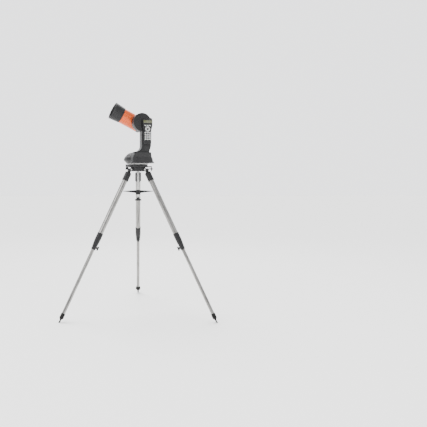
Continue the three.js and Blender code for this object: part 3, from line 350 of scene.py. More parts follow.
# ---------- Finishes ----------
class Value:
    """A socket that takes part in Python sums by adding its Math nodes."""

    def __init__(self, finish, socket):
        self.finish = finish
        self.socket = socket

    def maths(self, operation, first, second):
        return self.finish.add("ShaderNodeMath", {"operation": operation}, {0: first, 1: second})

    def __add__(self, other):
        return self.maths("ADD", self, other)

    def __sub__(self, other):
        return self.maths("SUBTRACT", self, other)

    def __rsub__(self, other):
        return self.maths("SUBTRACT", other, self)

    def __mul__(self, other):
        return self.maths("MULTIPLY", self, other)

    def __pow__(self, other):
        return self.maths("POWER", self, other)

    def above(self, other):
        return self.maths("GREATER_THAN", self, other)

    def below(self, other):
        return self.maths("LESS_THAN", self, other)

    def wrapped(self, span):
        return self.maths("PINGPONG", self, span)

    __radd__ = __add__
    __rmul__ = __mul__


class Finish:
    """A material and the nodes that its colour, roughness and surface come from."""

    def __init__(self, name, colour, **fixed):
        self.material = bpy.data.materials.new(name)
        self.material.use_nodes = True
        self.tree = self.material.node_tree
        self.shader = self.tree.nodes["Principled BSDF"]
        self.colour = tuple(colour)[:3] + (1.0,)
        self.material.diffuse_color = self.colour
        self.shader.inputs["Base Color"].default_value = self.colour
        for socket, amount in fixed.items():
            self.shader.inputs[socket.replace("_", " ")].default_value = amount

    def add(self, kind, settings=None, sockets=None, output=0):
        """Any node: its settings are set first, then the values or links of its sockets."""
        node = self.tree.nodes.new(kind)
        for setting, amount in (settings or {}).items():
            if setting == "stops":
                self.set_stops(node, amount)
            else:
                setattr(node, setting, amount)
        for socket, amount in (sockets or {}).items():
            self.feed(node.inputs[socket], amount)
        return Value(self, node.outputs[output])

    @staticmethod
    def set_stops(node, stops):
        """A ramp's stops, each a position and a colour."""
        ramp = node.color_ramp
        while len(ramp.elements) < len(stops):
            ramp.elements.new(0.5)
        for element, (position, colour) in zip(ramp.elements, stops):
            element.position = position
            element.color = tuple(colour)[:3] + (1.0,)

    def feed(self, socket, amount):
        if isinstance(amount, Value):
            self.tree.links.new(amount.socket, socket)
        else:
            socket.default_value = amount

    def place(self):
        return self.add("ShaderNodeTexCoord", output="Object")

    def own_place(self):
        return self.add("ShaderNodeAttribute", {"attribute_name": "own_place"}, output="Vector")

    def stretched(self, place, scale):
        return self.add("ShaderNodeMapping", None, {"Vector": place, "Scale": scale})

    def noise(self, place, scale, detail=3.0):
        return self.add("ShaderNodeTexNoise", None, {"Vector": place, "Scale": scale, "Detail": detail})

    def between(self, factor, first, second):
        """A colour from first to second."""
        colours = {"Factor": factor, "A": tuple(first)[:3] + (1,), "B": tuple(second)[:3] + (1,)}
        mix = self.tree.nodes.new("ShaderNodeMix")
        mix.data_type = "RGBA"
        self.feed(mix.inputs["Factor"], colours["Factor"])
        mix.inputs["A"].default_value = colours["A"]
        mix.inputs["B"].default_value = colours["B"]
        return Value(self, mix.outputs["Result"])

    def ranged(self, value, low, high):
        """A 0 to 1 value spread between two numbers."""
        return value * (high - low) + low

    def surface(self, colour=None, roughness=None, height=None, depth=0.1, size=0.001):
        """Links what varies: the colour, the roughness and the surface's height."""
        if colour is not None:
            self.feed(self.shader.inputs["Base Color"], colour)
        if roughness is not None:
            self.feed(self.shader.inputs["Roughness"], roughness)
        if height is not None:
            bump = {"Strength": depth, "Distance": size, "Height": height}
            self.feed(self.shader.inputs["Normal"], self.add("ShaderNodeBump", None, bump))
        return self.material


def tinted(colour, amount):
    return tuple(min(1, channel * amount) for channel in tuple(colour)[:3])


def moulded_plastic(name, colour, roughness=0.42, grain=0.16):
    """Satin black plastic with a fine moulded grain, slightly uneven sheen and upward faces made paler in
    patches.
    """
    finish = Finish(name, colour, Specular_IOR_Level=0.3)
    place = finish.place()
    grain_height = finish.noise(place, 1500, 2)
    mottle = finish.noise(place, 28, 4)
    facing = finish.add("ShaderNodeNewGeometry", output="Normal")
    upward = finish.add("ShaderNodeSeparateXYZ", None, {0: facing}, output="Z")
    # faces that look up are made paler in patches, and the more a face looks up, the paler it is made
    paler_on_upward_faces = (upward * mottle) * upward.above(0.35)
    shade = finish.between(paler_on_upward_faces * 0.5, tinted(colour, 0.92), tinted(colour, 2.0))
    sheen = finish.ranged(mottle, roughness - 0.07, roughness + 0.1)
    return finish.surface(shade, sheen, grain_height, grain, 0.0004)


def powder_coat(name, colour):
    """Black powder coat on a casting, with its orange-peel texture and paler worn spots."""
    finish = Finish(name, colour, Specular_IOR_Level=0.35)
    place = finish.place()
    peel = finish.noise(place, 520, 3)
    wear = (finish.noise(place, 60, 6) ** 6) * 3
    shade = finish.between(wear, colour, tinted(colour, 3.4))
    return finish.surface(shade, finish.ranged(peel, 0.42, 0.62), peel, 0.3, 0.0006)


def drawn_steel(name, colour):
    """Polished stainless tube with fine streaks along its length and faint handling marks."""
    finish = Finish(name, colour, Metallic=1.0)
    own = finish.own_place()
    streaks = finish.noise(finish.stretched(own, (1, 1, 0.012)), 900, 4)
    marks = finish.noise(finish.stretched(own, (1, 1, 0.08)), 130, 5)
    shade = finish.between(streaks * 0.4 + marks * 1.6 - 0.5, tinted(colour, 0.35), tinted(colour, 1.7))
    roughness = finish.ranged(streaks, 0.2, 0.3) + marks * 0.08
    return finish.surface(shade, roughness, streaks, 0.07, 0.0003)


def machined_metal(name, colour, low=0.22, high=0.38):
    """Turned or cut metal, with fine tool marks."""
    finish = Finish(name, colour, Metallic=1.0)
    place = finish.place()
    tooling = finish.noise(finish.stretched(place, (1, 1, 9)), 420, 3)
    shade = finish.between(tooling, tinted(colour, 0.8), tinted(colour, 1.1))
    return finish.surface(shade, finish.ranged(tooling, low, high), tooling, 0.1, 0.0003)


def metallic_orange(name, colour, deep_colour):
    """Gloss orange over a fine metallic flake, under a clear coat."""
    finish = Finish(name, colour, Metallic=0.3, Coat_Roughness=0.08, Specular_IOR_Level=0.3)
    finish.shader.inputs["Coat Weight"].default_value = 0.35
    own = finish.own_place()
    flake = finish.add("ShaderNodeTexVoronoi", None, {"Vector": own, "Scale": 2600.0}, output="Color")
    glint = finish.add("ShaderNodeSeparateColor", None, {0: flake}, output=0)
    cloud = finish.noise(own, 14, 3)
    shade = finish.between(glint * 0.35 + cloud * 0.35, colour, deep_colour)
    return finish.surface(shade, finish.ranged(glint, 0.24, 0.36), glint, 0.04, 0.0002)


def soft_rubber(name, colour, roughness=0.75):
    """Matt rubber with a faint mottle."""
    finish = Finish(name, colour, Specular_IOR_Level=0.3)
    mottle = finish.noise(finish.place(), 220, 4)
    shade = finish.between(mottle, tinted(colour, 0.85), tinted(colour, 1.25))
    return finish.surface(
        shade, finish.ranged(mottle, roughness - 0.1, roughness + 0.08), mottle, 0.15, 0.0004
    )


def silicone_key(name, colour):
    """Pale silicone rubber, a little greyer where fingers have been."""
    finish = Finish(name, colour, Specular_IOR_Level=0.4)
    finish.shader.inputs["Subsurface Weight"].default_value = 0.05
    wear = finish.noise(finish.place(), 130, 3)
    shade = finish.between(wear * 0.6, colour, tinted(colour, 0.8))
    return finish.surface(shade, finish.ranged(wear, 0.45, 0.62), wear, 0.08, 0.0003)


def display_window(name, colour, lit_colour):
    """A clear window over an olive display: two rows of faint character cells."""
    finish = Finish(name, colour, Coat_Roughness=0.04)
    finish.shader.inputs["Coat Weight"].default_value = 0.7
    own = finish.own_place()
    across = finish.add("ShaderNodeSeparateXYZ", None, {0: own}, output="X")
    upwards = finish.add("ShaderNodeSeparateXYZ", None, {0: own}, output="Z")
    cell = across.wrapped(0.0016).above(0.0004) * upwards.wrapped(0.0042).above(0.0012)
    glow = finish.noise(own, 40, 2)
    shade = finish.between(cell * 0.35 + glow * 0.55, colour, lit_colour)
    return finish.surface(shade, finish.ranged(glow, 0.16, 0.24), cell, 0.05, 0.0001)


def coated_lens(name, colour):
    """Anti-reflection coated glass, seen against the dark inside of the tube."""
    finish = Finish(name, colour, Roughness=0.03, IOR=1.5, Coat_Roughness=0.02)
    finish.shader.inputs["Transmission Weight"].default_value = 0.6
    finish.shader.inputs["Coat Weight"].default_value = 1.0
    smear = finish.noise(finish.place(), 35, 4)
    return finish.surface(
        finish.between(smear, colour, tinted(colour, 1.4)), finish.ranged(smear, 0.02, 0.07)
    )


def silvered_mirror(name, colour):
    """A front-silvered mirror with a trace of haze."""
    finish = Finish(name, colour, Metallic=1.0)
    haze = finish.noise(finish.place(), 50, 4)
    return finish.surface(finish.between(haze, colour, tinted(colour, 0.94)), finish.ranged(haze, 0.02, 0.07))


def studio_floor(name, colour):
    """A pale matt sweep with the faintest unevenness."""
    finish = Finish(name, colour, Specular_IOR_Level=0.1)
    mottle = finish.noise(finish.place(), 2.0, 3)
    return finish.surface(
        finish.between(mottle, colour, tinted(colour, 0.985)), finish.ranged(mottle, 0.75, 0.9)
    )


FINISH_MAKERS = {
    "black_plastic": (moulded_plastic, "plastic"),
    "cast_black": (powder_coat, "casting"),
    "stainless_tube": (drawn_steel, "tube_steel"),
    "steel_hardware": (machined_metal, "hardware"),
    "bright_plate": (machined_metal, "bright"),
    "brass_gear": (machined_metal, "brass"),
    "black_rubber": (soft_rubber, "rubber"),
    "orange_tube": (metallic_orange, "orange"),
    "coated_glass": (coated_lens, "glass"),
    "mirror_coat": (silvered_mirror, "mirror"),
    "pale_keys": (silicone_key, "keys"),
    "lcd_olive": (display_window, "display"),
}
SECOND_COLOURS = {"orange_tube": "orange_deep", "lcd_olive": "display_lit"}


def finish_for(slot):
    """The material of one of the record's slots, made the first time that it is asked for."""
    name = f"{slot}_finish"
    made = bpy.data.materials.get(name)
    if made:
        return made
    colours = bpy.context.scene.tracker_finishes
    maker, colour = FINISH_MAKERS[slot]
    more = [getattr(colours, SECOND_COLOURS[slot])] if slot in SECOND_COLOURS else []
    return maker(name, getattr(colours, colour), *more)


# ---------- Sizes and colours that a user may change ----------
def size_property(name, description, default):
    """A length in millimetres."""
    return bpy.props.FloatProperty(name=name, description=description, default=default, min=0.0)


def colour_property(name, description, *default):
    return bpy.props.FloatVectorProperty(
        name=name, description=description, default=default, subtype="COLOR", size=3, min=0.0, max=1.0
    )


class TripodSizes(bpy.types.PropertyGroup):
    """The tripod's fine shapes."""

    rib_count: bpy.props.IntProperty(
        name="Socket ribs", description="Raised rings on each leg's socket", default=4, min=1
    )
    rib_depth: size_property("Rib depth", "How far the socket's rings stand out", 1.1)
    grip_depth: size_property("Grip depth", "How deep the finger grooves of the knobs are", 1.3)
    thread_pitch: size_property("Thread pitch", "Pitch of the centre rod's thread", 2.0)


class MountSizes(bpy.types.PropertyGroup):
    """The motorised mount's fine shapes."""

    chamfer: size_property("Arm chamfer", "Width of the flat on the arm's front edges", 9.0)
    wall: size_property("Wall", "Thickness of the moulded shells", 4.0)
    blend_power: bpy.props.FloatProperty(
        name="Blend", description="How sharply the base's three forms meet", default=26.0, min=4.0
    )
    screw_radius: size_property("Screw radius", "Radius of the cover screws' heads", 3.2)


class ControlSizes(bpy.types.PropertyGroup):
    """The hand control's fine shapes."""

    edge: size_property("Edge radius", "Rounding on the front of the case", 4.0)
    ring_radius: size_property("Arrow ring", "Outside radius of the ring of arrow keys", 19.0)
    ring_hole: size_property("Ring hole", "Inside radius of the ring of arrow keys", 8.0)
    digit_height: size_property("Digit height", "Height of the numbers on the keypad", 5.0)
    key_edge: size_property("Key rounding", "Rounding on the keys' tops", 0.9)


class TelescopeSizes(bpy.types.PropertyGroup):
    """The telescope's fine shapes."""

    knurl_depth: size_property("Knurl depth", "Depth of the knurls on the focus knob and eyepiece", 0.5)
    screw_radius: size_property("Screw radius", "Radius of the cell screws' heads", 2.4)


class FinishColours(bpy.types.PropertyGroup):
    """The colour of each finish."""

    plastic: colour_property("Plastic", "Moulded black plastic", 0.012, 0.012, 0.013)
    casting: colour_property("Casting", "Powder coat on the castings", 0.012, 0.012, 0.013)
    tube_steel: colour_property("Tube steel", "Stainless leg tubes", 0.26, 0.255, 0.245)
    hardware: colour_property("Hardware", "Bolts, pins and screws", 0.56, 0.56, 0.55)
    bright: colour_property("Bright metal", "The azimuth gear plate", 0.78, 0.78, 0.77)
    brass: colour_property("Brass", "The altitude gear and pinions", 0.62, 0.43, 0.16)
    rubber: colour_property(
        "Rubber", "Feet, power switch, focus knob and printed numbers", 0.007, 0.007, 0.007
    )
    orange: colour_property("Orange", "The telescope's tube", 0.78, 0.115, 0.010)
    orange_deep: colour_property("Deep orange", "The tube's darker flake", 0.42, 0.035, 0.003)
    glass: colour_property("Lens", "The corrector lens's coating", 0.035, 0.05, 0.055)
    mirror: colour_property("Mirror", "The primary mirror", 0.85, 0.86, 0.87)
    keys: colour_property("Keys", "Pale silicone keys", 0.50, 0.50, 0.49)
    display: colour_property("Display", "The display at rest", 0.045, 0.050, 0.016)
    display_lit: colour_property("Display glow", "The lighter cells of the display", 0.10, 0.105, 0.036)
    floor: colour_property("Floor", "The studio floor", 0.90, 0.90, 0.89)


# ---------- Measures read from the frame ----------
def measured(node, axes):
    """A frame node's lowest and highest corners in the given axes, in millimetres."""
    back = axes.inverted()
    points = [back @ vertex.co / MM for vertex in frame["nodes"][node].data.vertices]
    low = Vector(min(point[k] for point in points) for k in range(3))
    high = Vector(max(point[k] for point in points) for k in range(3))
    return low, high


def along_x(piece, x=0, y=0, z=0):
    """Lays a piece drawn about Z along X, then moves it by millimetres."""
    turn = Matrix.Rotation(math.pi / 2, 4, "Y")
    return placed(piece, Matrix.Translation((x * MM, y * MM, z * MM)) @ turn)


def along_y(piece, x=0, y=0, z=0):
    """Lays a piece drawn about Z along +Y, then moves it by millimetres."""
    turn = Matrix.Rotation(-math.pi / 2, 4, "X")
    return placed(piece, Matrix.Translation((x * MM, y * MM, z * MM)) @ turn)


def turned_by(piece, degrees):
    return placed(piece, Matrix.Rotation(math.radians(degrees), 4, "Z"))


def fluted(radius, depth, count, steps=8):
    """A round outline with finger grooves."""
    points = []
    for i in range(count * steps):
        angle = math.tau * i / (count * steps)
        reach = radius - depth * abs(math.cos(angle * count / 2)) ** 3
        points.append((reach * math.cos(angle), reach * math.sin(angle)))
    return points


def hexagon(radius):
    return arc(0, 0, radius, 0, 300, 5)


def ringed(radius, start, end, count, depth, width=0.55):
    """Profile points along a wall from start to end, with raised rings of the full radius."""
    points = []
    pitch = (end - start) / count
    for i in range(count):
        near = start + pitch * i
        points += [(radius - depth, near), (radius, near + pitch * 0.12)]
        points += [(radius, near + pitch * width), (radius - depth, near + pitch * (width + 0.12))]
    return points


def screw_head(name, radius, height=1.6):
    """A pan head with a hexagon socket, standing on Z = 0."""
    head = turned(
        name, [(0, -1), (radius, -1), (radius, height * 0.5), (radius * 0.72, height), (0, height)], 28
    )
    return hollowed(head, cut_out("socket", hexagon(radius * 0.45), height * 0.3, height + 1))


# ---------- Legs ----------
LEGS = (1, 2, 3)


def leg_socket(sizes):
    """The moulded socket at the top of a leg, with its hinge tang."""
    axes = leg_axes(1)
    low, high = measured("leg_socket_1", axes)
    tube_high = measured("leg_upper_tube_1", axes)[1]
    radius, bottom, eye = high.x, low.z, high.z
    bore, seat = tube_high.x + 0.3, tube_high.z + 0.3
    neck = -radius
    profile = [(0, neck), (radius - 6, neck), (radius - 1.5, neck - 4), (radius, neck - 8)]
    profile += ringed(radius, neck - 14, bottom + 12, sizes.rib_count, sizes.rib_depth)
    profile += [(radius, bottom + 9), (radius, bottom + 1), (radius - 1, bottom)]
    profile += [(bore + 0.8, bottom), (bore, bottom + 1), (bore, seat), (0, seat)]
    cup = turned("leg_socket", profile, 64)
    tang = standing("tang", arc(0, 0, eye, 0, 180, 14) + [(-eye, neck - 4), (eye, neck - 4)], -7.7, 7.7)
    softened(tang, 0.8, 2)
    hole = along_y(rod("hole", 3.8, -20, 20, 24))
    return hollowed(joined(cup, tang), hole)


def leg_tube(name, wall):
    low, high = measured(f"{name}_1", leg_axes(1))
    profile = [(high.x - wall, low.z), (high.x - 0.4, low.z), (high.x, low.z + 0.4)]
    profile += [(high.x, high.z - 0.4), (high.x - 0.4, high.z), (high.x - wall, high.z)]
    return remember_own_axes(turned(name, profile, 80))


def lock_collar():
    """The clamp collar between the two tubes, with a boss for its T-knob."""
    axes = leg_axes(1)
    low, high = measured("leg_lock_collar_1", axes)
    upper_low, upper_high = measured("leg_upper_tube_1", axes)
    lower_high = measured("leg_lower_tube_1", axes)[1]
    radius, top, bottom, step = high.x, high.z, low.z, upper_low.z - 0.3
    end = lower_high.x + 3
    knob = measured("leg_lock_knob_1", axes)
    knob_z = (knob[0].z + knob[1].z) / 2
    profile = [(0, top), (radius - 0.9, top), (radius, top - 1), (radius, top - 7)]
    profile += [(radius - 1, top - 8), (radius - 1, top - 10), (radius, top - 11), (radius, step - 2)]
    profile += curve((radius, step - 8), (radius - 1, step - 30), (end + 2, knob_z), 8)
    profile += [(end + 1.4, bottom + 8), (end + 0.4, bottom + 7), (end + 0.4, bottom + 5)]
    profile += [(end, bottom + 4), (end, bottom + 1), (end - 1, bottom), (0, bottom)]
    collar = turned("leg_lock_collar", profile, 64)
    boss = along_x(turned("boss", [(0, low.x), (7, low.x), (8, low.x + 1), (8, -end + 2), (0, -end + 2)], 40))
    joined(collar, moved(boss, z=knob_z))
    wide, narrow = upper_high.x + 0.3, lower_high.x + 0.3
    bore = turned(
        "bore", [
            (0, top + 1), (wide, top + 1), (wide, step), (narrow, step), (narrow, bottom - 1),
            (0, bottom - 1),
        ], 64
    )
    hole = moved(along_x(rod("hole", 3.8, -60, 0, 24)), z=knob_z)
    return hollowed(collar, bore, hole)


def lock_knob():
    """A T-handle with finger grooves, on its threaded shaft."""
    low, high = measured("leg_lock_knob_1", leg_axes(1))
    middle = (low.z + high.z) / 2
    inner = low.x + 9
    outline = round_box(low.x, low.z, inner, high.z, 4, 5)
    handle = softened(standing("leg_lock_knob", outline, low.y, high.y), 1.3, 3)
    for side in (-1, 1):
        for offset in (7, 10.5):
            groove = along_x(rod("groove", 0.9, low.x - 1, inner + 1, 12))
            for face in (low.y, high.y):
                cut = moved(copied(groove, "cut"), y=face, z=middle + side * offset)
                hollowed(handle, cut)
            bpy.data.objects.remove(groove)
    hub = along_x(turned("hub", [(0, inner - 4), (6.5, inner - 4), (5, inner + 1.4), (0, inner + 1.4)], 32))
    shaft = along_x(rod("shaft", 3.5, inner, high.x, 24))
    return joined(handle, moved(hub, z=middle), moved(shaft, z=middle))


def leg_foot():
    """A rubber foot: a sleeve on the tube, a pair of ears and a ringed tip, cut flat by the ground."""
    axes = leg_axes(1)
    low, high = measured("leg_foot_1", axes)
    tube_low, tube_high = measured("leg_lower_tube_1", axes)
    top, sleeve_end = high.z, tube_low.z - 0.3
    sleeve, bore, tip = tube_high.x + 3, tube_high.x + 0.3, 6.0
    profile = [(bore, top), (sleeve - 1, top), (sleeve, top - 1), (sleeve, top - 6)]
    profile += [(sleeve - 0.7, top - 7), (sleeve - 0.7, top - 9), (sleeve, top - 10)]
    profile += [(sleeve, sleeve_end - 1), (sleeve - 1.5, sleeve_end - 4), (tip + 1.5, sleeve_end - 12)]
    profile += ringed(tip, sleeve_end - 14, sleeve_end - 34, 3, 0.8)
    profile += [(tip, sleeve_end - 35), (tip, low.z - 8), (0, low.z - 8), (0, sleeve_end), (bore, sleeve_end)]
    foot = turned("leg_foot", profile, 56)
    ear = softened(block("ear", (-4, low.y, sleeve_end), (4, high.y, top - 8)), 2.2, 3)
    joined(foot, ear)
    return hollowed(foot, rod("bore", bore, sleeve_end, top + 1, 56))


def hinge_bolt():
    """A hexagon bolt with its washer and nut, across a leg's hinge."""
    low, high = measured("hinge_bolt_1", leg_axes(1))
    head_end = low.y + 4.4
    bolt = rod("hinge_bolt", 3.5, low.y + 1, high.y, 28)
    head = softened(cut_out("head", hexagon(7), low.y, head_end - 0.9), 0.6, 2)
    washer = rod("washer", 7.6, head_end - 1, head_end + 0.1, 36)
    nut = softened(cut_out("nut", hexagon(6.6), high.y - 5.6, high.y - 1.4), 0.5, 2)
    return along_y(joined(bolt, head, washer, nut))


def on_each_leg(piece, name, bodies, slot, finish_piece=None):
    """Copies a piece drawn in a leg's own axes to all three legs and uses up the first."""
    for number in LEGS:
        twin = placed(copied(piece, f"{name}_{number}"), leg_axes(number))
        if finish_piece:
            finish_piece(twin)
        smooth(twin)
        handed_over(twin, bodies.format(number), slot, f"{name}_{number}")
    bpy.data.objects.remove(piece)


def cut_by_ground(piece):
    activate(piece)
    bpy.ops.object.mode_set(mode="EDIT")
    bpy.ops.mesh.select_all(action="SELECT")
    bpy.ops.mesh.bisect(plane_co=(0, 0, 0), plane_no=(0, 0, 1), clear_inner=True, use_fill=True)
    bpy.ops.object.mode_set(mode="OBJECT")


class MakeLegs(bpy.types.Operator):
    """Make the three legs: socket, tubes, clamp collar, T-knob, foot and hinge bolt"""

    bl_idname = "tracker.legs"
    bl_label = "Legs"

    def execute(self, context):
        sizes = context.scene.tracker_tripod
        on_each_leg(leg_socket(sizes), "leg_socket", "leg_{}", "black_plastic")
        on_each_leg(leg_tube("leg_upper_tube", 1.6), "leg_upper_tube", "leg_{}", "stainless_tube")
        on_each_leg(lock_collar(), "leg_lock_collar", "leg_{}", "black_plastic")
        on_each_leg(lock_knob(), "leg_lock_knob", "lock_knob_{}", "black_plastic")
        on_each_leg(leg_tube("leg_lower_tube", 1.5), "leg_lower_tube", "lower_leg_{}", "stainless_tube")
        on_each_leg(leg_foot(), "leg_foot", "lower_leg_{}", "black_rubber", cut_by_ground)
        on_each_leg(hinge_bolt(), "hinge_bolt", "tripod_head", "steel_hardware")
        return {"FINISHED"}


# ---------- Tripod head and brace ----------
LEG_DIRECTIONS = (90, 210, 330)
HINGE_REACH, HINGE_HEIGHT = 72, 1112
TILT_PIN_REACH, TILT_PIN_HEIGHT = 84, 1136
LOCK_BOLT_HEIGHT = 1118
MOUNTING_BOLT = {"x": -86, "y": 8}


def head_lug(direction, bottom, top):
    """A lug with a rounded end, which holds a leg's hinge."""
    reach = 85
    outline = [(30, bottom), (reach - 6, bottom)] + arc(reach - 6, bottom + 6, 6, -90, 0, 5)[1:]
    outline += arc(reach - 9, top - 9, 9, 0, 90, 6) + [(30, top)]
    return turned_by(softened(standing("lug", outline, -19, 19), 1.2, 2), direction)


def tripod_head():
    """The cast head: a disc, three forked lugs and the two ears of the wedge's hinge."""
    low, high = measured("tripod_head", tripod_axes())
    disc_top, lug_top, pivot = 1130, 1122, high.z - 8
    profile = [(0, low.z), (54, low.z), (57, low.z + 3), (57, low.z + 9), (56.2, low.z + 10)]
    profile += [
        (56.2, disc_top - 9), (58, disc_top - 8), (58, disc_top - 1.5), (56.5, disc_top), (0, disc_top)
    ]
    head = turned("tripod_head", profile, 112)
    for direction in LEG_DIRECTIONS:
        joined(head, head_lug(direction, low.z, lug_top))
    for side in (-1, 1):
        outline = [(30, lug_top), (92, lug_top)] + arc(84, pivot, 8, 0, 180, 12) + [(62, 1130), (30, 1130)]
        ear = standing("ear", outline, -4, 4)
        ear = softened(turned_by(ear, 90), 0.8, 2)
        joined(head, moved(ear, x=side * 22.6))
    for direction in LEG_DIRECTIONS:
        slot = block("slot", (58, -8, low.z - 1), (92, 8, lug_top + 1))
        hole = moved(along_y(rod("hole", 3.8, -30, 30, 24)), x=HINGE_REACH, z=HINGE_HEIGHT)
        hollowed(head, turned_by(slot, direction), turned_by(hole, direction))
    pin_hole = moved(along_x(rod("pin_hole", 3.3, -60, 60, 24)), y=TILT_PIN_REACH, z=pivot)
    return hollowed(head, pin_hole, rod("seat", 8.3, low.z - 1, low.z + 11.3, 40))


def centre_rod(sizes):
    """The steel rod under the head, with a thread along its lower end."""
    low, high = measured("center_rod", tripod_axes())
    radius, pitch = high.x, sizes.thread_pitch
    profile = [(0, low.z), (radius - 1, low.z)]
    for turn in range(1, 19):
        height = low.z + turn * pitch
        profile += [(radius, height - pitch * 0.5), (radius - 0.8, height)]
    profile += [(radius, low.z + 20 * pitch), (radius, high.z - 0.5), (radius - 0.5, high.z), (0, high.z)]
    return remember_own_axes(turned("center_rod", profile, 48))


def brace_arm(reach, drop):
    """One arm of the leg brace, tapering outwards, with hollow sides that leave a web and two flanges."""
    side = [(0, 4), (reach - 4, -1)] + arc(reach - 3, -3, 2.8, 60, -60, 4)
    side += [(reach - 4, -5), (25, -0.7 * drop), (0, -drop)]
    arm = standing("arm", side, -20, 20)
    top = curve((0, -15), (0.4 * reach, -6), (reach, -3.5)) + curve((reach, 3.5), (0.4 * reach, 6), (0, 15))
    combined(arm, cut_out("top", top, -60, 20), "INTERSECT")
    softened(arm, 0.7, 2)
    for near, far in ((-30, -1.8), (1.8, 30)):
        pocket = standing("pocket", [(24, 0), (reach - 14, -3.2), (26, -0.7 * drop + 3.6)], near, far)
        hollowed(arm, pocket)
    return arm


def leg_brace():
    """Three tapering arms on a hub that turns about the centre rod."""
    reach = measured("leg_brace", tripod_axes())[1].y
    base = height_of("leg_brace") / MM - 5
    drop = 24
    hub = turned(
        "leg_brace",
        [(0, -30), (17.5, -30), (19, -28.5), (19, -6), (17, -3), (17, 3.5), (15.5, 5), (0, 5)],
        64,
    )
    arm = brace_arm(reach, drop)
    for direction in LEG_DIRECTIONS:
        joined(hub, turned_by(copied(arm, "one_arm"), direction))
    bpy.data.objects.remove(arm)
    return moved(hollowed(hub, rod("bore", 8.6, -60, 20, 40)), z=base)


def brace_knob(sizes):
    """A fluted hand wheel under the brace."""
    low, high = measured("brace_knob", tripod_axes())
    radius, bottom = high.x, low.z
    wheel = softened(cut_out("brace_knob", fluted(radius, sizes.grip_depth, 16), bottom, bottom + 13), 1.4, 3)
    boss = turned(
        "boss",
        [
            (0, bottom + 8), (15, bottom + 8), (14, bottom + 14), (12.4, high.z - 1), (11.4, high.z),
            (0, high.z),
        ],
    )
    cup = turned("cup", [(0, bottom - 1), (17, bottom - 1), (15.5, bottom + 2), (0, bottom + 2)])
    return hollowed(joined(wheel, boss), cup, rod("bore", 8.3, low.z - 5, high.z + 5, 40))


class MakeHeadAndBrace(bpy.types.Operator):
    """Make the tripod's head, its centre rod, the leg brace and the brace knob"""

    bl_idname = "tracker.head_and_brace"
    bl_label = "Tripod head and brace"

    def execute(self, context):
        sizes = context.scene.tracker_tripod
        handed_over_at(
            tripod_axes(),
            (tripod_head(), "tripod_head", "cast_black", "tripod_head"),
            (centre_rod(sizes), "tripod_head", "steel_hardware", "center_rod"),
            (leg_brace(), "leg_brace", "black_plastic", "leg_brace"),
            (brace_knob(sizes), "brace_knob", "black_plastic", "brace_knob"),
        )
        return {"FINISHED"}


# ---------- Wedge ----------
def ear_outline(low):
    """The rounded ear that the mounting bolt goes through."""
    return round_box(low.x, -6, -40, 22, 11, 6)


def tilt_plate():
    """The hinged plate under the base, with its tongue, bolt ear and lock bracket."""
    low, high = measured("tilt_plate", tripod_axes())
    bottom, radius = 1131, 72
    top = bottom + 8
    profile = [(0, bottom), (radius - 3, bottom), (radius - 1.2, bottom + 1.2), (radius, bottom + 3)]
    profile += [(radius, top - 1), (radius - 1, top), (0, top)]
    plate = turned("tilt_plate", profile, 112)
    tongue = standing(
        "tongue", [(50, bottom), (84, 1128)] + arc(84, 1136, 8, -90, 90, 12) + [(50, 1139)], -18, 18
    )
    shelf = block("shelf", (50, -16, bottom), (high.x, 16, top))
    bracket = softened(block("bracket", (high.x - 6, -16, low.z), (high.x, 16, top)), 1.5, 3)
    ear = softened(cut_out("ear", ear_outline(low), bottom, top), 1.0, 2)
    joined(plate, turned_by(tongue, 90), softened(shelf, 0.9, 2), bracket, ear)
    pin_hole = moved(along_x(rod("pin_hole", 3.3, -60, 60, 24)), y=TILT_PIN_REACH, z=TILT_PIN_HEIGHT)
    bolt_hole = moved(along_x(rod("bolt_hole", 4.3, 96, 140, 24)), z=LOCK_BOLT_HEIGHT)
    return hollowed(plate, pin_hole, bolt_hole, moved(rod("ear_hole", 4.3, 1100, 1160, 24), **MOUNTING_BOLT))


def tilt_pin():
    low, high = measured("tilt_pin", tripod_axes())
    pin = rod("tilt_pin", 3, low.x, high.x - 1, 32)
    head = softened(cut_out("head", hexagon(6), high.x - 5, high.x), 0.5, 2)
    clip = rod("clip", 4.4, low.x + 0.8, low.x + 1.8, 32)
    return moved(along_x(joined(pin, head, clip)), y=TILT_PIN_REACH, z=TILT_PIN_HEIGHT)


def tilt_lock_bolt():
    """A bright hexagon bolt that bears on the head through the plate's bracket."""
    low, high = measured("tilt_lock_bolt", tripod_axes())
    head_start = high.x - 7
    profile = [(0, low.x), (3.2, low.x), (4, low.x + 1)]
    for turn in range(22):
        profile += [(4, low.x + 1.8 + turn * 1.5), (3.5, low.x + 2.5 + turn * 1.5)]
    profile += [(4, head_start - 1), (4, head_start + 1), (0, head_start + 1)]
    bolt = turned("tilt_lock_bolt", profile, 32)
    head = softened(cut_out("head", hexagon(7), head_start + 1.2, high.x), 0.7, 2)
    collar = rod("collar", 6.9, head_start, head_start + 1.4, 40)
    nut = softened(cut_out("nut", hexagon(6.6), high.x - 19.5, high.x - 14.5), 0.6, 2)
    return moved(along_x(joined(bolt, head, collar, nut)), z=LOCK_BOLT_HEIGHT)


def mounting_bolt():
    """The fluted thumb screw that holds the mount on its plate."""
    low, high = measured("mounting_bolt", tripod_axes())
    knob_top = low.z + 18
    knob = softened(cut_out("mounting_bolt", fluted(12, 1.1, 12), low.z, knob_top - 5), 1.2, 3)
    neck = turned("neck", [(0, low.z + 10), (11.4, low.z + 10), (9, knob_top), (0, knob_top)], 48)
    shank = turned(
        "shank", [(0, knob_top - 1), (4, knob_top - 1), (4, high.z - 1), (3.2, high.z), (0, high.z)], 32
    )
    return moved(joined(knob, neck, shank), **MOUNTING_BOLT)


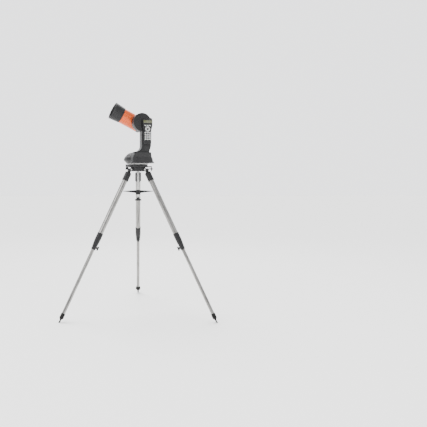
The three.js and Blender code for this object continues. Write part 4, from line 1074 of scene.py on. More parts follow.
class MakeWedge(bpy.types.Operator):
    """Make the tilting plate under the base, its pin, its lock bolt and the mounting bolt"""

    bl_idname = "tracker.wedge"
    bl_label = "Wedge"

    def execute(self, context):
        handed_over_at(
            tripod_axes(),
            (tilt_plate(), "tilt_table", "cast_black", "tilt_plate"),
            (tilt_pin(), "tripod_head", "steel_hardware", "tilt_pin"),
            (tilt_lock_bolt(), "tilt_lock_bolt", "steel_hardware", "tilt_lock_bolt"),
            (mounting_bolt(), "mounting_bolt", "black_plastic", "mounting_bolt"),
        )
        return {"FINISHED"}


# ---------- Motorised base ----------
GEAR_MODULE = 3.0
TUB_X = -3.0


def gear_outline(teeth, phase, backlash=1.2):
    """A spur gear's outline, with straight-sided teeth."""
    pitch = teeth * GEAR_MODULE / 2
    root, tip = pitch - 1.1 * GEAR_MODULE, pitch + 0.8 * GEAR_MODULE
    half = math.tau / teeth / 4 - backlash / 2 / pitch
    points = []
    for i in range(teeth):
        middle = math.radians(phase) + math.tau * i / teeth
        for radius, turn in ((root, -1.5), (tip, -0.5), (tip, 0.5), (root, 1.5)):
            angle = middle + turn * half
            points.append((radius * math.cos(angle), radius * math.sin(angle)))
    return points


def base_plate():
    """The fixed black plate that carries the spindle."""
    low, high = measured("base_plate", tripod_axes())
    top, radius = low.z + 13.7, 75
    profile = [(0, low.z), (radius - 2, low.z), (radius, low.z + 1.5), (radius, low.z + 5)]
    profile += [(radius - 1, low.z + 5.8), (radius - 1, low.z + 7), (radius, low.z + 7.8), (radius, top - 1)]
    profile += [(radius - 1, top), (16, top), (16, high.z - 1.5), (14.5, high.z), (0, high.z)]
    plate = turned("base_plate", profile, 112)
    ear = softened(cut_out("ear", ear_outline(low), low.z + 2, top), 1.2, 3)
    return hollowed(joined(plate, ear), moved(rod("ear_hole", 4.3, 1100, low.z + 11.3, 24), **MOUNTING_BOLT))


def azimuth_gear_plate():
    """The bright plate on the base plate, with the azimuth gear standing on it."""
    low, high = measured("azimuth_gear_plate", tripod_axes())
    radius = high.x
    top = low.z + 6.7
    profile = [(0, low.z), (radius - 1, low.z), (radius, low.z + 1), (radius, low.z + 2.6)]
    profile += [
        (radius - 0.7, low.z + 3), (radius - 0.7, low.z + 3.6), (radius, low.z + 4), (radius, top - 0.8)
    ]
    profile += [(radius - 0.8, top), (0, top)]
    plate = turned("azimuth_gear_plate", profile, 128)
    teeth = softened(cut_out("teeth", gear_outline(40, 200), top - 1, high.z), 0.25, 1)
    return hollowed(joined(plate, teeth), rod("bore", 16.3, 1100, 1200, 48))


def base_floor():
    low, high = measured("base_floor", mount_axes())
    radius = (high.x - low.x) / 2
    profile = [(64, low.z), (radius - 0.8, low.z), (radius, low.z + 0.8), (radius, high.z - 0.8)]
    profile += [(radius - 0.8, high.z), (64, high.z)]
    return moved(turned("base_floor", profile, 96), x=TUB_X)


def eased(keys, place, reach=2.5):
    """A value read off a list of (place, value) points, rounded over a short reach."""

    def straight(at):
        if at <= keys[0][0]:
            return keys[0][1]
        for (start, first), (end, last) in zip(keys, keys[1:]):
            if at <= end:
                return first + (last - first) * (at - start) / (end - start)
        return keys[-1][1]

    offsets = (-reach, -reach / 2, 0, reach / 2, reach)
    return sum(straight(place + offset) for offset in offsets) / len(offsets)


def ray_reach(outline, angle):
    """How far a line from the middle of the base runs at an angle before it leaves a closed outline."""
    dx, dy = math.cos(angle), math.sin(angle)
    furthest = 0.0
    for (x0, y0), (x1, y1) in zip(outline, outline[1:] + outline[:1]):
        ex, ey = x1 - x0, y1 - y0
        across = dx * ey - dy * ex
        if abs(across) < 1e-9:
            continue
        along = (x0 * dy - y0 * dx) / across
        reach = (x0 * ey - y0 * ex) / across
        if -1e-6 <= along <= 1 + 1e-6:
            furthest = max(furthest, reach)
    return furthest


class BaseForm:
    """The base's outside form: a round tub, a tail behind the arm's side and the root of the arm."""

    def __init__(self, low, high, power):
        self.bottom, self.top, self.power = low.z, high.z, power
        self.skirt = self.bottom + 5
        b, t = self.bottom, self.top
        self.tub = [
            (b, 84), (b + 1, 84), (b + 23, 106), (b + 33, 109), (b + 46, 104), (t - 13, 84), (t - 3, 70)
        ]
        self.tub.append((t, 61))
        self.tail = [(b, 124), (b + 5, 127), (b + 11, 123), (t - 14, 78), (t - 3, 58), (t, 52)]
        self.left = [(b, 80), (b + 42, 78), (t - 2, 62), (t, 60)]
        self.right = [(b, 88), (b + 32, 84), (t - 2, 60), (t, 58)]
        self.front = [(b, 139.5), (t - 34, 140), (t - 8, 146), (t, 146.5)]
        self.corner = [(b, 40), (t - 30, 36), (t - 6, 12), (t, 9)]

    def tail_outline(self, height):
        tip = eased(self.tail, height)
        wide = min(86, eased(self.tub, height) * 0.97)
        side = curve((20, -wide), (tip - 12, 10 - wide), (tip, -24))
        side += curve((tip, -24), (tip + 2, 0), (tip, 24))[1:]
        side += curve((tip, 24), (tip - 12, wide - 10), (20, wide))[1:]
        return [(x - TUB_X, y) for x, y in side]

    def root_outline(self, height):
        left, right = eased(self.left, height), eased(self.right, height)
        box = round_box(-left, -eased(self.front, height), right, 20, eased(self.corner, height), 10)
        return [(x - TUB_X, y) for x, y in box]

    def ring(self, height, sides):
        """The form's section at a height, as points about the middle of the tub."""
        points = []
        tub = eased(self.tub, height)
        outlines = [self.tail_outline(height), self.root_outline(height)] if height > self.bottom + 3 else []
        for i in range(sides):
            angle = math.tau * i / sides
            reaches = [tub] + [ray_reach(outline, angle) for outline in outlines]
            longest = max(reaches)
            reach = longest * sum((r / longest) ** self.power for r in reaches) ** (1 / self.power)
            points.append((reach * math.cos(angle) + TUB_X, reach * math.sin(angle)))
        return points


def lofted(name, rings):
    """A skin drawn from one ring of (x, y, height) points to the next, left open at both ends."""
    deselect()
    sides = len(rings[0])
    bpy.ops.mesh.primitive_circle_add(vertices=sides, radius=1)
    skin = bpy.context.object
    skin.name = skin.data.name = name
    bpy.ops.object.mode_set(mode="EDIT")
    for number, ring in enumerate(rings):
        bpy.ops.mesh.select_mode(type="EDGE")
        if number:
            bpy.ops.mesh.extrude_edges_move(TRANSFORM_OT_translate={"value": (0, 0, 1)})
        mesh = bmesh.from_edit_mesh(skin.data)
        loose = [vertex for vertex in mesh.verts if vertex.select]
        ordered = sorted(loose, key=lambda vertex: vertex.index) if not number else follow_on(loose, before)
        for vertex, (x, y, z) in zip(ordered, ring):
            vertex.co = (x * MM, y * MM, z * MM)
        bmesh.update_edit_mesh(skin.data)
        mesh.verts.index_update()
        before = [vertex.index for vertex in ordered]
    bpy.ops.object.mode_set(mode="OBJECT")
    return skin


def follow_on(loose, before):
    """Puts an extruded ring's points in the order of the ring below."""
    above = {}
    for vertex in loose:
        for edge in vertex.link_edges:
            other = edge.other_vert(vertex)
            if not other.select:
                above[other.index] = vertex
    return [above[index] for index in before]


def base_shell(sizes):
    """The moulded cover of the base: one skin over tub, tail and arm root, with a wall's thickness."""
    low, high = measured("base_shell", mount_axes())
    form = BaseForm(low, high, sizes.blend_power)
    sides = 160
    heights = [low.z, low.z + 1.6, form.skirt, form.skirt + 1.5, form.skirt + 4]
    steps = 22
    heights += [form.skirt + 7 + (high.z - 3 - form.skirt - 7) * i / steps for i in range(steps + 1)]
    heights += [high.z - 1.6, high.z - 0.5]
    rings = [[(x, y, height) for x, y in form.ring(height, sides)] for height in heights]
    top = form.ring(high.z, sides)
    for inset, height in ((0.985, high.z), (0.9, high.z)):
        rings.append([(TUB_X + (x - TUB_X) * inset, y * inset, height) for x, y in top])
    lid_y, lid = 8, 40.3
    angles = [math.atan2(y, x - TUB_X) for x, y in top]
    rings.append([(TUB_X + 44 * math.cos(a), lid_y * 0.9 + 44 * math.sin(a), high.z) for a in angles])
    rings.append([(TUB_X + lid * math.cos(a), lid_y + lid * math.sin(a), high.z) for a in angles])
    rings.append([(TUB_X + lid * math.cos(a), lid_y + lid * math.sin(a), high.z - 1) for a in angles])
    skin = lofted("base_shell", rings)
    activate(skin)
    bpy.ops.object.mode_set(mode="EDIT")
    bpy.ops.mesh.select_all(action="SELECT")
    bpy.ops.mesh.normals_make_consistent(inside=False)
    bpy.ops.object.mode_set(mode="OBJECT")
    with_modifier(skin, "SOLIDIFY", thickness=sizes.wall * MM, offset=-1)
    slot = block("slot", (-6.3, 85, 1185.7), (10.3, 130, 1194.3))
    return hollowed(skin, slot)


def battery_cover():
    """The round lid on the base, with a raised rim, a finger tab and a coin slot."""
    low, high = measured("battery_cover", mount_axes())
    radius, top = 40, low.z + 5
    profile = [(0, low.z), (radius - 2, low.z), (radius, low.z + 1), (radius, top), (radius - 1.6, top + 1.6)]
    profile += [
        (radius - 6, top + 2), (radius - 7, top + 1.2), (radius - 9, top + 1.2), (radius - 10, top + 2)
    ]
    profile += [(0, top + 2)]
    lid = turned("battery_cover", profile, 96)
    tab = softened(block("tab", (-10, 22, top), (10, 27, high.z)), 1.5, 3)
    slot = softened(block("coin", (-9, -1.4, top + 0.6), (9, 1.4, top + 5)), 0.6, 2)
    return moved(hollowed(joined(lid, tab), slot), x=TUB_X, y=8)


def power_switch():
    """A ribbed slide switch on the back of the base."""
    low, high = measured("power_switch", mount_axes())
    switch = softened(block("power_switch", low, high), 0.8, 2)
    for i in range(-2, 3):
        groove = block(
            "groove", (i * 2.2 - 0.5, high.y - 0.8, low.z - 1), (i * 2.2 + 0.5, high.y + 1, high.z + 1)
        )
        hollowed(switch, groove)
    return switch


class MakeBase(bpy.types.Operator):
    """Make the motorised base: its plates, shell, battery cover and switch, with the azimuth drive inside"""

    bl_idname = "tracker.base"
    bl_label = "Motorised base"

    def execute(self, context):
        sizes = context.scene.tracker_mount
        handed_over_at(
            tripod_axes(),
            (base_plate(), "tilt_table", "cast_black", "base_plate"),
            (azimuth_gear_plate(), "tilt_table", "bright_plate", "azimuth_gear_plate"),
        )
        handed_over_at(
            mount_axes(),
            (base_floor(), "azimuth_base", "black_plastic", "base_floor"),
            (base_shell(sizes), "azimuth_base", "black_plastic", "base_shell"),
            (battery_cover(), "battery_cover", "black_plastic", "battery_cover"),
            (power_switch(), "power_switch", "black_rubber", "power_switch"),
        )
        return {"FINISHED"}


# ---------- Arm ----------
class ArmForm:
    """The arm's side outline: a flared root, a straight post and a round head on the altitude axis."""

    def __init__(self, low, high):
        self.low, self.high = low, high
        self.head = mount_axes().inverted() @ joint_place("altitude_turn") / MM
        self.radius = high.z - self.head.z
        self.left, self.right = -10, high.x
        self.root_left, self.root_right = low.x, 47
        self.flare = low.z + 48

    def outline(self, inset=0):
        left, right, bottom = self.left + inset, self.right - inset, self.low.z + inset
        radius = self.radius - inset
        offset = left - self.head.x
        start = math.degrees(math.atan2(-math.sqrt(radius**2 - offset**2), offset)) % 360
        foot_end = self.root_left + (6 * inset if inset > 0 else inset)
        lift = max(1, 6 - 2 * max(inset, 0))
        points = curve((foot_end, bottom), (left, bottom + lift), (left, self.flare), 14)
        points += arc(self.head.x, self.head.z, radius, start, 0, 56)
        points += [(right, self.flare), (self.root_right - inset, bottom)]
        return points


def face_chamfer(piece, face_y, floor_z, width, segments=1):
    """Bevels the edges round a standing piece's front face, but not along its foot."""

    def on_rim(point):
        return abs(point.y - face_y) < 0.01

    def not_foot(edge_points):
        return not all(abs(point.z - floor_z) < 0.01 for point in edge_points)

    activate(piece)
    bpy.ops.object.mode_set(mode="EDIT")
    bpy.ops.mesh.select_mode(type="EDGE")
    bpy.ops.mesh.select_all(action="DESELECT")
    mesh = bmesh.from_edit_mesh(piece.data)
    for edge in mesh.edges:
        ends = [vertex.co / MM for vertex in edge.verts]
        edge.select = all(on_rim(end) for end in ends) and not_foot(ends) and len(edge.link_faces) == 2
    bmesh.update_edit_mesh(piece.data)
    bpy.ops.mesh.bevel(offset=width * MM, segments=segments, affect="EDGES", clamp_overlap=True)
    bpy.ops.object.mode_set(mode="OBJECT")
    return piece


def arm_inner_shell(sizes):
    """The arm's inner half, with the hole that the altitude shaft turns in and its cover screws."""
    low, high = measured("arm_inner_shell", mount_axes())
    form = ArmForm(low, high)
    shell = standing("arm_inner_shell", form.outline(), low.y, high.y)
    face_chamfer(shell, high.y, low.z, 3, 3)
    softened(shell, 0.5, 1, 50)
    hollow = standing("hollow", form.outline(sizes.wall), low.y - 1, high.y - sizes.wall)
    head = form.head
    shaft = moved(along_y(rod("shaft", 14.3, -95, -60, 64)), x=head.x, z=head.z)
    dish = moved(
        along_y(
            turned("dish", [(0, high.y - 1.2), (50, high.y - 1.2), (51, high.y + 2), (0, high.y + 2)], 96),
        ),
        x=head.x, z=head.z,
    )
    hollowed(shell, hollow, dish, shaft)
    places = [(head.x - 54, head.z), (form.right - 12, head.z + 26), (form.left + 12, low.z + 80)]
    places += [(form.right - 12, low.z + 60), (form.right - 12, low.z + 150)]
    for x, z in places:
        counterbore = moved(
            along_y(rod("bore", sizes.screw_radius + 1, high.y - 2, high.y + 1, 28)), x=x, z=z
        )
        hollowed(shell, counterbore)
    return shell, [(x, high.y - 2, z) for x, z in places]


def arm_outer_cover(sizes):
    """The arm's outer half, with flats on its front edges and a shallow seat for the hand control."""
    low, high = measured("arm_outer_cover", mount_axes())
    form = ArmForm(low, high)
    cover = standing("arm_outer_cover", form.outline(), low.y, high.y)
    face_chamfer(cover, low.y, low.z, sizes.chamfer)
    softened(cover, 0.9, 2, 25)
    inner = standing("inner", form.outline(sizes.wall), low.y + 6.2, high.y + 1)
    face_chamfer(inner, low.y + 6.2, low.z + sizes.wall, sizes.chamfer)
    control = ControlForm()
    seat = standing("seat", control.outline(-0.5), low.y - 1, low.y + 2.2)
    joint = standing("joint", form.outline(-2), high.y - 1.0, high.y + 1)
    core = standing("core", form.outline(0.7), high.y - 2.0, high.y + 2)
    hollowed(joint, core)
    return hollowed(cover, inner, seat, joint)


def gear_wheel(node, teeth, phase):
    """The altitude gear, lightened with round holes, on its hub."""
    low, high = measured(node, mount_axes())
    thickness = high.y - low.y
    wheel = softened(cut_out(node, gear_outline(teeth, phase), 0, thickness), 0.2, 1)
    dish = turned("dish", [(14, 1.4), (36, 1.4), (37, -1), (14, -1)], 64)
    hollowed(wheel, dish)
    for i in range(6):
        angle = math.tau * i / 6
        hollowed(
            wheel,
            moved(rod("hole", 5, -2, thickness + 2, 24), x=25 * math.cos(angle), y=25 * math.sin(angle)),
        )
    return hollowed(wheel, rod("bore", 8.3, -2, thickness + 2, 40))


def altitude_gear():
    low, high = measured("altitude_gear", mount_axes())
    wheel = gear_wheel("altitude_gear", 32, 55)
    middle = (low + high) / 2
    return moved(along_y(wheel), x=middle.x, y=low.y, z=middle.z)


def arm_screws(places, sizes):
    """The cover screws, each in its counterbore."""
    screws = []
    for x, y, z in places:
        screw = along_y(screw_head("arm_screws", sizes.screw_radius))
        screws.append(moved(screw, x=x, y=y, z=z))
    return merged("arm_screws", screws)


class MakeArm(bpy.types.Operator):
    """Make the arm's two shells, their screws and the altitude gear between them"""

    bl_idname = "tracker.arm"
    bl_label = "Arm"

    def execute(self, context):
        sizes = context.scene.tracker_mount
        shell, places = arm_inner_shell(sizes)
        handed_over_at(
            mount_axes(),
            (shell, "azimuth_base", "black_plastic", "arm_inner_shell"),
            (arm_outer_cover(sizes), "azimuth_base", "black_plastic", "arm_outer_cover"),
            (altitude_gear(), "telescope", "brass_gear", "altitude_gear"),
        )
        handed_over_at(mount_axes(), (arm_screws(places, sizes), "azimuth_base", "steel_hardware"))
        return {"FINISHED"}


class FinishDrives(bpy.types.Operator):
    """Give the motors and pinions inside the mount their metal finishes"""

    bl_idname = "tracker.drives"
    bl_label = "Motors and pinions"

    def execute(self, context):
        for node, slot in (
            ("azimuth_motor", "steel_hardware"),
            ("altitude_motor", "steel_hardware"),
            ("azimuth_pinion", "brass_gear"),
            ("altitude_pinion", "brass_gear"),
        ):
            piece = frame["nodes"][node]
            if not piece.material_slots:
                piece.data.materials.append(None)
            for material_slot in piece.material_slots:
                material_slot.material = finish_for(slot)
        return {"FINISHED"}


# ---------- Hand control ----------
class ControlForm:
    """The hand control's outline and faces, in the mount's axes."""

    def __init__(self):
        low, high = measured("hand_control_case", mount_axes())
        self.x = (low.x + high.x) / 2
        self.face, self.back = low.y, high.y
        self.bottom, self.top = low.z, high.z
        self.wide, self.narrow = (high.x - low.x) / 2, 29
        self.waist, self.shoulder = self.bottom + 103, self.bottom + 139

    def outline(self, inset=0):
        wide, narrow = self.wide - inset, self.narrow - inset
        bottom, top = self.bottom + inset, self.top - inset
        right = [(self.x, bottom), (self.x + narrow - 12, bottom)]
        right += curve(
            (self.x + narrow - 12, bottom), (self.x + narrow, bottom), (self.x + narrow, bottom + 16), 7
        )[1:]
        right += [(self.x + narrow, self.waist - 6)]
        right += curve(
            (self.x + narrow, self.waist - 6), (self.x + narrow, self.waist + 4),
            (self.x + narrow + 3, self.waist + 12), 5,
        )[1:]
        right += curve(
            (self.x + wide - 3, self.shoulder - 10), (self.x + wide, self.shoulder - 2),
            (self.x + wide, self.shoulder + 6), 5,
        )
        right += [(self.x + wide, top - 14)]
        right += curve(
            (self.x + wide, top - 14), (self.x + wide, top - 3), (self.x + wide - 14, top - 2), 7
        )[1:]
        right += [(self.x + (wide - 14) * k / 4, top - 2 * (k / 4) ** 2) for k in (3, 2, 1)]
        left = [(2 * self.x - x, z) for x, z in reversed(right[1:])]
        return right + [(self.x, top)] + left


def key_places():
    """Each single key's middle in X and Z, read from the frame."""
    places = {}
    for name in ("key_align", "key_enter", "key_undo", "arrow_up", "arrow_down", "arrow_left", "arrow_right"):
        low, high = measured(name, mount_axes())
        places[name] = ((low.x + high.x) / 2, (low.z + high.z) / 2, low.y, high.y)
    return places


def ring_centre(places):
    return places["arrow_up"][0], (places["arrow_up"][1] + places["arrow_down"][1]) / 2


def rounded_face(piece, face_y, width, segments=3):
    """Rounds the edges round a standing piece's front face."""
    return face_chamfer(piece, face_y, -1e6, width, segments)


def hand_control_case(sizes):
    """The hand control's case: round front edges, a window frame, key pockets and a seam round its middle."""
    form = ControlForm()
    places = key_places()
    case = standing("hand_control_case", form.outline(), form.face, form.back)
    rounded_face(case, form.face, sizes.edge, 5)
    rounded_face(case, form.back, 2, 3)
    seam = standing("seam", form.outline(-2), form.back - 9.6, form.back - 9)
    hollowed(seam, standing("core", form.outline(0.6), form.back - 10, form.back - 8))
    hollowed(case, seam)
    floor = form.face + 5.3
    x, z = ring_centre(places)
    disc = turned("disc", [(0, form.face - 2), (20.4, form.face - 2), (20.4, floor), (0, floor)], 72)
    centre = turned(
        "centre", [(0, form.face - 1), (7.4, form.face - 1), (7.4, floor + 2), (0, floor + 2)], 48
    )
    hollowed(case, moved(along_y(hollowed(disc, centre)), x=x, z=z))
    for name in ("key_align", "key_enter", "key_undo"):
        key_x, key_z = places[name][:2]
        pocket = round_box(key_x - 6.8, key_z - 4.3, key_x + 6.8, key_z + 4.3, 3, 5)
        hollowed(case, standing("pocket", pocket, form.face - 1, floor))
    low, high = measured("lcd_window", mount_axes())
    window = round_box(low.x - 0.3, low.z - 0.3, high.x + 0.3, high.z + 0.3, 2.0, 4)
    hollowed(case, standing("window", window, form.face - 1, form.face + 2))
    low, high = measured("number_keypad", mount_axes())
    pad = round_box(low.x - 0.3, low.z - 0.3, high.x + 0.3, high.z + 0.3, 1.0, 4)
    return hollowed(case, standing("pad", pad, form.face - 1, form.face + 1.8))


def single_key(name, sizes, places):
    x, z, near, far = places[name]
    key = standing(name, round_box(x - 6.5, z - 4, x + 6.5, z + 4, 2.8, 6), near, far)
    return rounded_face(key, near, sizes.key_edge, 3)


def arrow_key(name, sizes, places):
    """A quarter of the ring of arrow keys, with its arrow sunk in it."""
    turn = {"arrow_right": 0, "arrow_up": 90, "arrow_left": 180, "arrow_down": 270}[name]
    near, far = places[name][2:]
    x, z = ring_centre(places)
    outer, inner = sizes.ring_radius, sizes.ring_hole
    outline = arc(0, 0, outer, turn - 41, turn + 41, 14) + arc(0, 0, inner, turn + 37, turn - 37, 8)
    key = standing(name, [(x + u, z + v) for u, v in outline], near, far)
    rounded_face(key, near, sizes.key_edge, 3)
    middle = (outer + inner) / 2
    arrow = [(2.6, 0), (-1.6, 2.7), (-1.6, -2.7)]
    angle = math.radians(turn)
    points = []
    for u, v in arrow:
        along = middle + u
        points.append(
            (
                x + along * math.cos(angle) - v * math.sin(angle),
                z + along * math.sin(angle) + v * math.cos(angle),
            ),
        )
    return hollowed(key, standing("arrow", points, near - 1, near + 0.5))


def keypad_outlines(grow=0):
    """The outlines of the twelve number keys, three across and four up, each made larger by `grow`."""
    low, high = measured("number_keypad", mount_axes())
    across, upwards = (high.x - low.x) / 3, (high.z - low.z) / 4
    half_width, half_height = across * 0.4 + grow, upwards * 0.33 + grow
    outlines = []
    for column in range(3):
        for row in range(4):
            x, z = low.x + across * (column + 0.5), low.z + upwards * (row + 0.5)
            outlines.append(round_box(x - half_width, z - half_height, x + half_width, z + half_height, 3, 5))
    return outlines


def number_keypad(sizes):
    """One rubber sheet with twelve raised keys."""
    low, high = measured("number_keypad", mount_axes())
    sheet = standing("number_keypad", round_box(low.x, low.z, high.x, high.z, 0.8, 3), low.y + 2.2, high.y)
    for outline in keypad_outlines():
        key = standing("key", outline, low.y, low.y + 3)
        joined(sheet, rounded_face(key, low.y, sizes.key_edge, 3))
    return sheet


def keypad_frame():
    """The black frame over the keypad's sheet, with an opening for each number key."""
    low, high = measured("number_keypad", mount_axes())
    frame_plate = standing(
        "keypad_frame", round_box(low.x, low.z, high.x, high.z, 0.8, 3), low.y + 0.9, low.y + 2.1
    )
    openings = [standing("opening", outline, low.y - 1, low.y + 4) for outline in keypad_outlines(0.5)]
    return hollowed(frame_plate, *openings)


def keypad_digits(sizes):
    """The numbers printed on the keypad's keys."""
    low, high = measured("number_keypad", mount_axes())
    across, upwards = (high.x - low.x) / 3, (high.z - low.z) / 4
    digits = []
    for place, digit in enumerate("1234567890"):
        column, row = (place % 3, 3 - place // 3) if digit != "0" else (1, 0)
        deselect()
        bpy.ops.object.text_add()
        text = bpy.context.object
        text.data.body = digit
        text.data.size = sizes.digit_height * MM * 1.35
        text.data.extrude = 0.00006
        text.data.align_x = "CENTER"
        text.data.align_y = "CENTER"
        bpy.ops.object.convert(target="MESH")
        text = bpy.context.object
        x, z = low.x + across * (column + 0.5), low.z + upwards * (row + 0.5)
        turn = Matrix.Rotation(math.pi / 2, 4, "X")
        digits.append(placed(text, Matrix.Translation((x * MM, (low.y - 0.03) * MM, z * MM)) @ turn))
    return merged("keypad_digits", digits)


def display_glass():
    """The display's window, which keeps its own place for its rows of cells."""
    low, high = measured("lcd_window", mount_axes())
    window = standing("lcd_window", round_box(low.x, low.z, high.x, high.z, 1.8, 4), low.y, high.y)
    return remember_own_axes(rounded_face(window, low.y, 0.3, 2))


class MakeHandControl(bpy.types.Operator):
    """Make the hand control: its case, display, menu keys, ring of arrow keys and number pad"""

    bl_idname = "tracker.hand_control"
    bl_label = "Hand control"

    def execute(self, context):
        sizes = context.scene.tracker_control
        places = key_places()
        pieces = [
            (hand_control_case(sizes), "hand_control", "black_plastic", "hand_control_case"),
            (display_glass(), "hand_control", "lcd_olive", "lcd_window"),
            (number_keypad(sizes), "hand_control", "pale_keys", "number_keypad"),
            (keypad_frame(), "hand_control", "black_plastic"),
        ]
        for name in places:
            maker = arrow_key if name.startswith("arrow") else single_key
            pieces.append((maker(name, sizes, places), name, "pale_keys", name))
        handed_over_at(mount_axes(), *pieces)
        digits = placed(keypad_digits(sizes), mount_axes())
        handed_over(digits, "hand_control", "black_rubber")
        return {"FINISHED"}


# ---------- Telescope ----------
def optical_tube():
    """The orange tube, rolled at its ends, with its own place for the paint's flake."""
    low, high = measured("optical_tube", tube_axes())
    radius, wall = high.x, 2
    profile = [(radius - wall, low.z), (radius - 0.5, low.z), (radius, low.z + 0.5)]
    profile += [(radius, high.z - 0.5), (radius - 0.5, high.z), (radius - wall, high.z)]
    return remember_own_axes(turned("optical_tube", profile, 144))


def front_cell():
    """The black cell round the corrector lens, flaring to a dew shield with stepped baffles inside."""
    low, high = measured("front_cell", tube_axes())
    rim = high.x
    tube_radius = measured("optical_tube", tube_axes())[1].x
    lens = measured("corrector_lens", tube_axes())
    start, end = low.z, high.z
    profile = [(lens[1].x - 4, start), (tube_radius + 0.4, start), (tube_radius + 1.8, start + 1.6)]
    profile += [(tube_radius + 2, start + 4), (tube_radius + 2, start + 8), (tube_radius + 1.4, start + 8.8)]
    profile += [
        (tube_radius + 1.4, start + 10.4), (tube_radius + 2.4, start + 11.4),
        (tube_radius + 3, start + 20),
    ]
    profile += curve((tube_radius + 3, start + 20), (rim - 2.4, start + 44), (rim - 1.2, end - 9), 8)[1:]
    profile += [(rim - 0.6, end - 8), (rim, end - 6), (rim, end - 1.6), (rim - 1.4, end), (rim - 3.4, end)]
    profile += [(rim - 4, end - 0.8)]
    inner = [(rim - 4, end - 2)]
    for i in range(9):
        t = i / 9
        radius = rim - 4.4 + (tube_radius - 3.6 - rim + 4.4) * t
        height = end - 4 - (end - 4 - start - 22) * t
        inner += [(radius, height), (radius - 1.1, height - 1.6), (radius - 0.2, height - 2.4)]
    profile += inner + [(tube_radius - 4, start + 20), (lens[1].x + 1.6, start + 16.6)]
    profile += [(lens[1].x + 0.3, start + 16), (lens[1].x + 0.3, start + 8), (lens[1].x - 4, start + 8)]
    return turned("front_cell", profile, 144)


def retaining_ring():
    """The ring with two spanner slots that holds the corrector lens."""
    high = measured("corrector_lens", tube_axes())[1]
    inner, outer, base = high.x - 4.5, high.x + 0.2, high.z + 0.2
    profile = [(inner, base), (outer, base), (outer, base + 3.4), (outer - 1, base + 3.8)]
    profile += [(inner + 1.4, base + 3.8), (inner, base + 2.6)]
    ring = turned("retaining_ring", profile, 120)
    for side in (-1, 1):
        centre = side * (inner + outer) / 2
        slot = block("slot", (centre - 3, -1.4, base + 2), (centre + 3, 1.4, base + 6))
        hollowed(ring, slot)
    return ring


def corrector_lens():
    """A gently curved corrector with the secondary mirror's spot on its middle."""
    low, high = measured("corrector_lens", tube_axes())
    radius = high.x
    bulge = [(radius * (1 - k / 10), high.z - 0.9 + 0.9 * (1 - (1 - k / 10) ** 2)) for k in range(11)]
    profile = [(0, low.z), (radius - 0.4, low.z), (radius, low.z + 0.4)] + bulge
    return turned("corrector_lens", profile, 120)


def secondary_holder():
    """The small round holder in the middle of the corrector."""
    base = measured("corrector_lens", tube_axes())[1].z + 0.1
    profile = [
        (0, base), (17, base), (17, base + 2), (15.6, base + 3.4), (9, base + 3.8), (8, base + 3),
        (0, base + 3),
    ]
    return turned("secondary_holder", profile, 72)


def primary_mirror():
    low, high = measured("primary_mirror", tube_axes())
    radius, bore = high.x, 16
    face = []
    for k in range(13):
        dip = 4 * (1 - (1 - k / 12) ** 2)
        face.append((radius - k * (radius - bore) / 12, high.z - dip))
    profile = [(bore, low.z), (radius - 0.8, low.z), (radius, low.z + 0.8), (radius, high.z - 0.6)] + face
    return turned("primary_mirror", profile, 120)


EYEPIECE_BACK = -84


def eyepiece_axes():
    """The eyepiece's own axes: its origin is on the tube's axis and +Z runs out along the eyepiece."""
    out = joint_axis("eyepiece_slide")
    across = joint_axis("altitude_turn")
    tube = tube_axes()
    start = tube @ Vector((0, 0, EYEPIECE_BACK * MM))
    return axes_at(start, across.cross(out), across, out)


def rear_cell():
    """The rear cell: mirror housing, taper, diagonal body, straight-through port and eyepiece holder."""
    low, high = measured("rear_cell", tube_axes())
    radius = measured("optical_tube", tube_axes())[1].x
    back, front = low.z, high.z
    port, housing = 20, 32
    profile = [(0, back), (port - 0.8, back), (port, back + 0.8)]
    profile += ringed(port, back + 2, back + 11, 4, 0.7)
    profile += [(port - 0.7, back + 14), (housing - 1.6, back + 14), (housing, back + 15.6)]
    profile += [(housing, -72)] + curve((housing, -72), (housing, -64), (radius - 8, -42), 8)[1:]
    profile += [(radius - 3.4, -36), (radius - 1.2, -32.5), (radius, -29), (radius, -20)]
    profile += [
        (radius - 0.8, -19), (radius - 0.8, -17), (radius, -16), (radius, front - 0.6),
        (radius - 0.6, front),
    ]
    profile += [(0, front)]
    body = turned("rear_cell", profile, 128)
    holder_axes = tube_axes().inverted() @ eyepiece_axes()
    holder_top = 42
    outer, bore = 19.8, 16.1
    holder = turned(
        "holder",
        [
            (0, 0), (outer, 0), (outer, holder_top - 12), (outer - 1, holder_top - 11),
            (outer - 1, holder_top - 9),
        ]
        + [(outer, holder_top - 8), (outer, holder_top - 0.8), (outer - 0.8, holder_top), (0, holder_top)],
        72,
    )
    holder_bore = placed(rod("holder_bore", bore, 0, holder_top + 10, 72), holder_axes)
    boss = turned("boss", [(0, -98), (11.5, -98), (12.5, -97), (12.5, -34), (0, -34)], 48)
    joined(body, placed(holder, holder_axes), moved(boss, x=-30))
    light_path = rod("light_path", 16, back - 1, 0, 72)
    hollow = turned("hollow", [(14, -32), (radius - 5, -32), (radius - 5, 0), (14, 0)], 96)
    focus_hole = moved(rod("focus_hole", 3.3, back - 40, -24, 24), x=-30)
    hollowed(body, light_path, holder_bore, hollow, focus_hole)
    for i in range(6):
        angle = math.radians(30 + 60 * i)
        pocket = along_x(rod("pocket", 2.9, radius - 1.4, radius + 2, 24))
        pocket = placed(pocket, Matrix.Translation((0, 0, -0.0245)) @ Matrix.Rotation(angle, 4, "Z"))
        hollowed(body, pocket)
    return body


def cell_screws(sizes):
    """Six screws round the rear cell that hold it in the tube."""
    radius = measured("optical_tube", tube_axes())[1].x
    screws = []
    for i in range(6):
        angle = math.radians(30 + 60 * i)
        screw = along_x(screw_head("cell_screws", sizes.screw_radius, 1.3), x=radius - 1.5)
        screws.append(placed(screw, Matrix.Translation((0, 0, -0.0245)) @ Matrix.Rotation(angle, 4, "Z")))
    return merged("cell_screws", screws)


